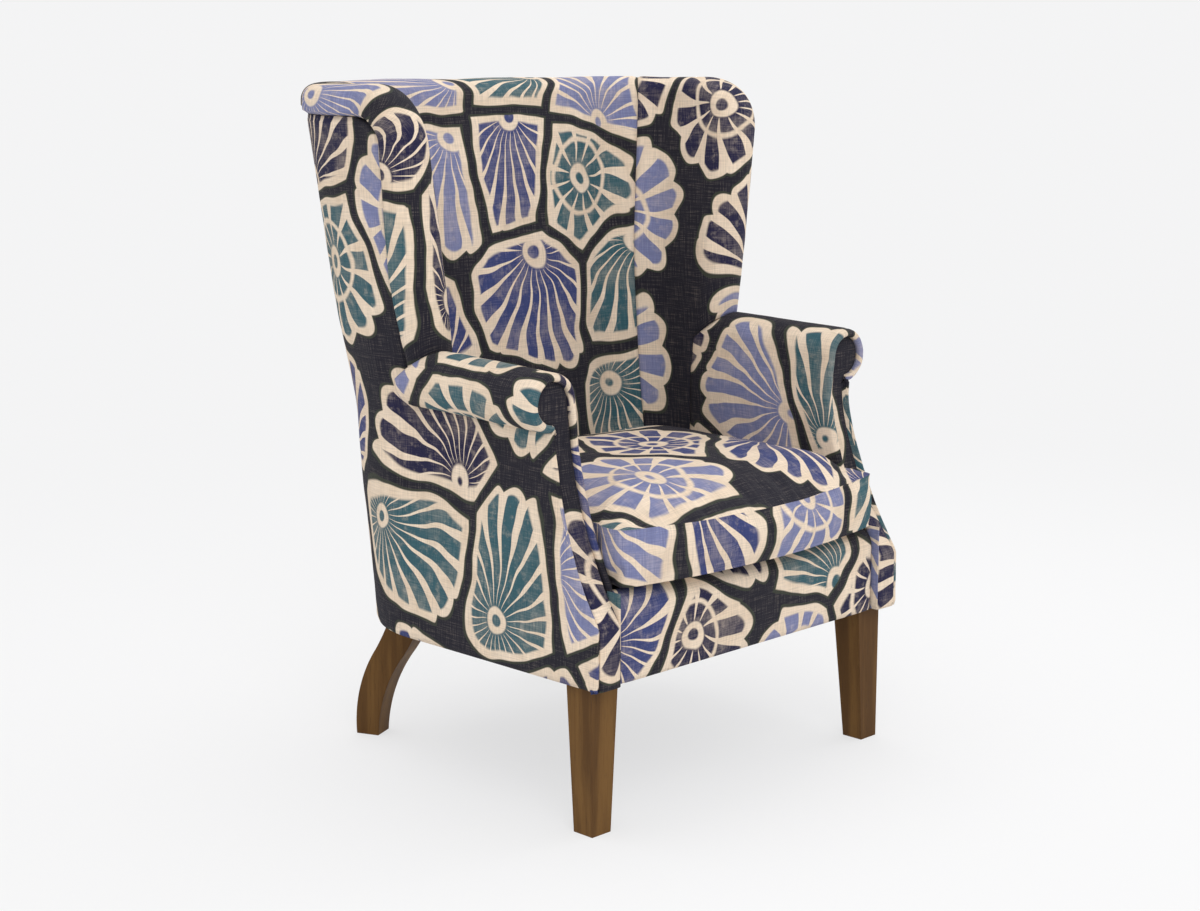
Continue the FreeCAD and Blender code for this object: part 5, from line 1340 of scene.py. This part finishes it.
class ARMCHAIR_OT_arms(PieceOperator, bpy.types.Operator):
    """Inside arms with their rolls, and the facings"""
    bl_idname = "armchair.arms"
    bl_label = "Arms"

    def execute(self, context):
        for side, way in SIDES:
            core = away_from(-way * ROLL_X, 0.25, 0.55)
            cover_piece(side + "_arm_cover", arm(), core, side + "_inside_arm", thick=0.0025)
            cover_piece(side + "_facing_cover", facing(), facing_to(0, -1, 0), side + "_arm_facing",
                        ripple=0.0004, tuck=0.0012, hem=0.004)
            cover_piece(side + "_block_return", block_return(), facing_to(-way, 0, 0), thick=0.0012,
                        ripple=0.0, tuck=0.0003, hem=0.0)
        return {"FINISHED"}


class ARMCHAIR_OT_seat_front(PieceOperator, bpy.types.Operator):
    """Front border and the padded deck behind it"""
    bl_idname = "armchair.seat_front"
    bl_label = "Seat front and deck"

    def execute(self, context):
        cover_piece("front_border_cover", border(), facing_to(0, -1, 0.3), "front_border", hem=0.016)
        pad = cover_piece("seat_deck_cover", deck(), facing_to(0, 0, 1), "padded_seat_deck",
                          slot="deck_cloth", ripple=0.0008)
        dust = cover_piece("dust_cover_cloth", underside(), facing_to(0, 0, -1), "dust_cover",
                           slot="deck_cloth", thick=0.0006, tuck=0.0, ripple=0.0)
        return {"FINISHED"}


class ARMCHAIR_OT_cushion(PieceOperator, bpy.types.Operator):
    """The loose seat cushion"""
    bl_idname = "armchair.cushion"
    bl_label = "Seat cushion"

    def execute(self, context):
        piece = finish_piece("seat_cushion_soft", cushion_mesh(), "printed_linen",
                             ["seat_cushion_cover", "seat_cushion_filling"], body="seat_cushion")
        settle(piece)
        seam_points = [item.value > 0.5 for item in piece.data.attributes["seam"].data]
        crease = piece.data.attributes.new("crease_edge", "FLOAT", "EDGE")
        for edge in piece.data.edges:
            if all(seam_points[i] for i in edge.vertices):
                edge.use_edge_sharp = True
                crease.data[edge.index].value = 0.8
        finer = piece.modifiers.new("finer", "SUBSURF")
        finer.levels = finer.render_levels = 1
        return {"FINISHED"}


class ARMCHAIR_OT_legs(PieceOperator, bpy.types.Operator):
    """The four legs with eased edges"""
    bl_idname = "armchair.legs"
    bl_label = "Legs"

    def execute(self, context):
        for name in ("left_front_leg", "right_front_leg", "left_rear_leg", "right_rear_leg"):
            mesh = bmesh.new()
            mesh.from_mesh(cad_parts[name].data)
            bmesh.ops.remove_doubles(mesh, verts=mesh.verts, dist=0.00002)
            piece = finish_piece(name + "_wood", mesh, "walnut", [name])
            ease = piece.modifiers.new("eased edges", "BEVEL")
            ease.width = 0.0016
            ease.segments = 3
            ease.limit_method = "ANGLE"
            ease.angle_limit = math.radians(35)
            flat = piece.modifiers.new("flat faces", "WEIGHTED_NORMAL")
            flat.keep_sharp = True
        return {"FINISHED"}


class ARMCHAIR_OT_inner_parts(PieceOperator, bpy.types.Operator):
    """Finishes of the timber, springs and fittings inside"""
    bl_idname = "armchair.inner_parts"
    bl_label = "Inner parts"

    def execute(self, context):
        for name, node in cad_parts.items():
            dress(node, slot_of(name))
        return {"FINISHED"}


def slot_of(name):
    """Material slot of a frame part, told from its name."""
    for words, slot in (
        (("zip",), "zip_tape"), (("filling",), "cushion_filling"), (("springs",), "spring_steel"),
        (("clips", "bolts"), "zinc_steel"), (("webbing",), "elastic_webbing"),
        (("deck", "dust"), "deck_cloth"), (("leg",), "walnut"),
        (("rail", "post", "board", "block"), "frame_timber"),
    ):
        if any(word in name for word in words):
            return slot
    return "printed_linen"


class ARMCHAIR_PT_panel(bpy.types.Panel):
    bl_label = "Armchair"
    bl_idname = "ARMCHAIR_PT_panel"
    bl_space_type = "VIEW_3D"
    bl_region_type = "UI"
    bl_category = "Armchair"

    def draw(self, context):
        look = context.scene.armchair_look
        for operator in OPERATORS:
            self.layout.operator(operator.bl_idname)
        for key in ArmchairLook.__annotations__:
            self.layout.prop(look, key)


OPERATORS = (
    ARMCHAIR_OT_stage, ARMCHAIR_OT_outside, ARMCHAIR_OT_inside_back, ARMCHAIR_OT_wings, ARMCHAIR_OT_arms,
    ARMCHAIR_OT_seat_front, ARMCHAIR_OT_cushion, ARMCHAIR_OT_legs, ARMCHAIR_OT_inner_parts,
)
CLASSES = (ArmchairLook, *OPERATORS, ARMCHAIR_PT_panel)


def register():
    for item in CLASSES:
        bpy.utils.register_class(item)
    bpy.types.Scene.armchair_look = PointerProperty(type=ArmchairLook)


def unregister():
    del bpy.types.Scene.armchair_look
    for item in reversed(CLASSES):
        bpy.utils.unregister_class(item)


def main():
    register()
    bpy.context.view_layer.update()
    bpy.ops.armchair.stage()
    bpy.ops.armchair.outside()
    bpy.ops.armchair.inside_back()
    bpy.ops.armchair.wings()
    bpy.ops.armchair.arms()
    bpy.ops.armchair.seat_front()
    bpy.ops.armchair.cushion()
    bpy.ops.armchair.legs()
    bpy.ops.armchair.inner_parts()


if __name__ == "__main__":
    main()
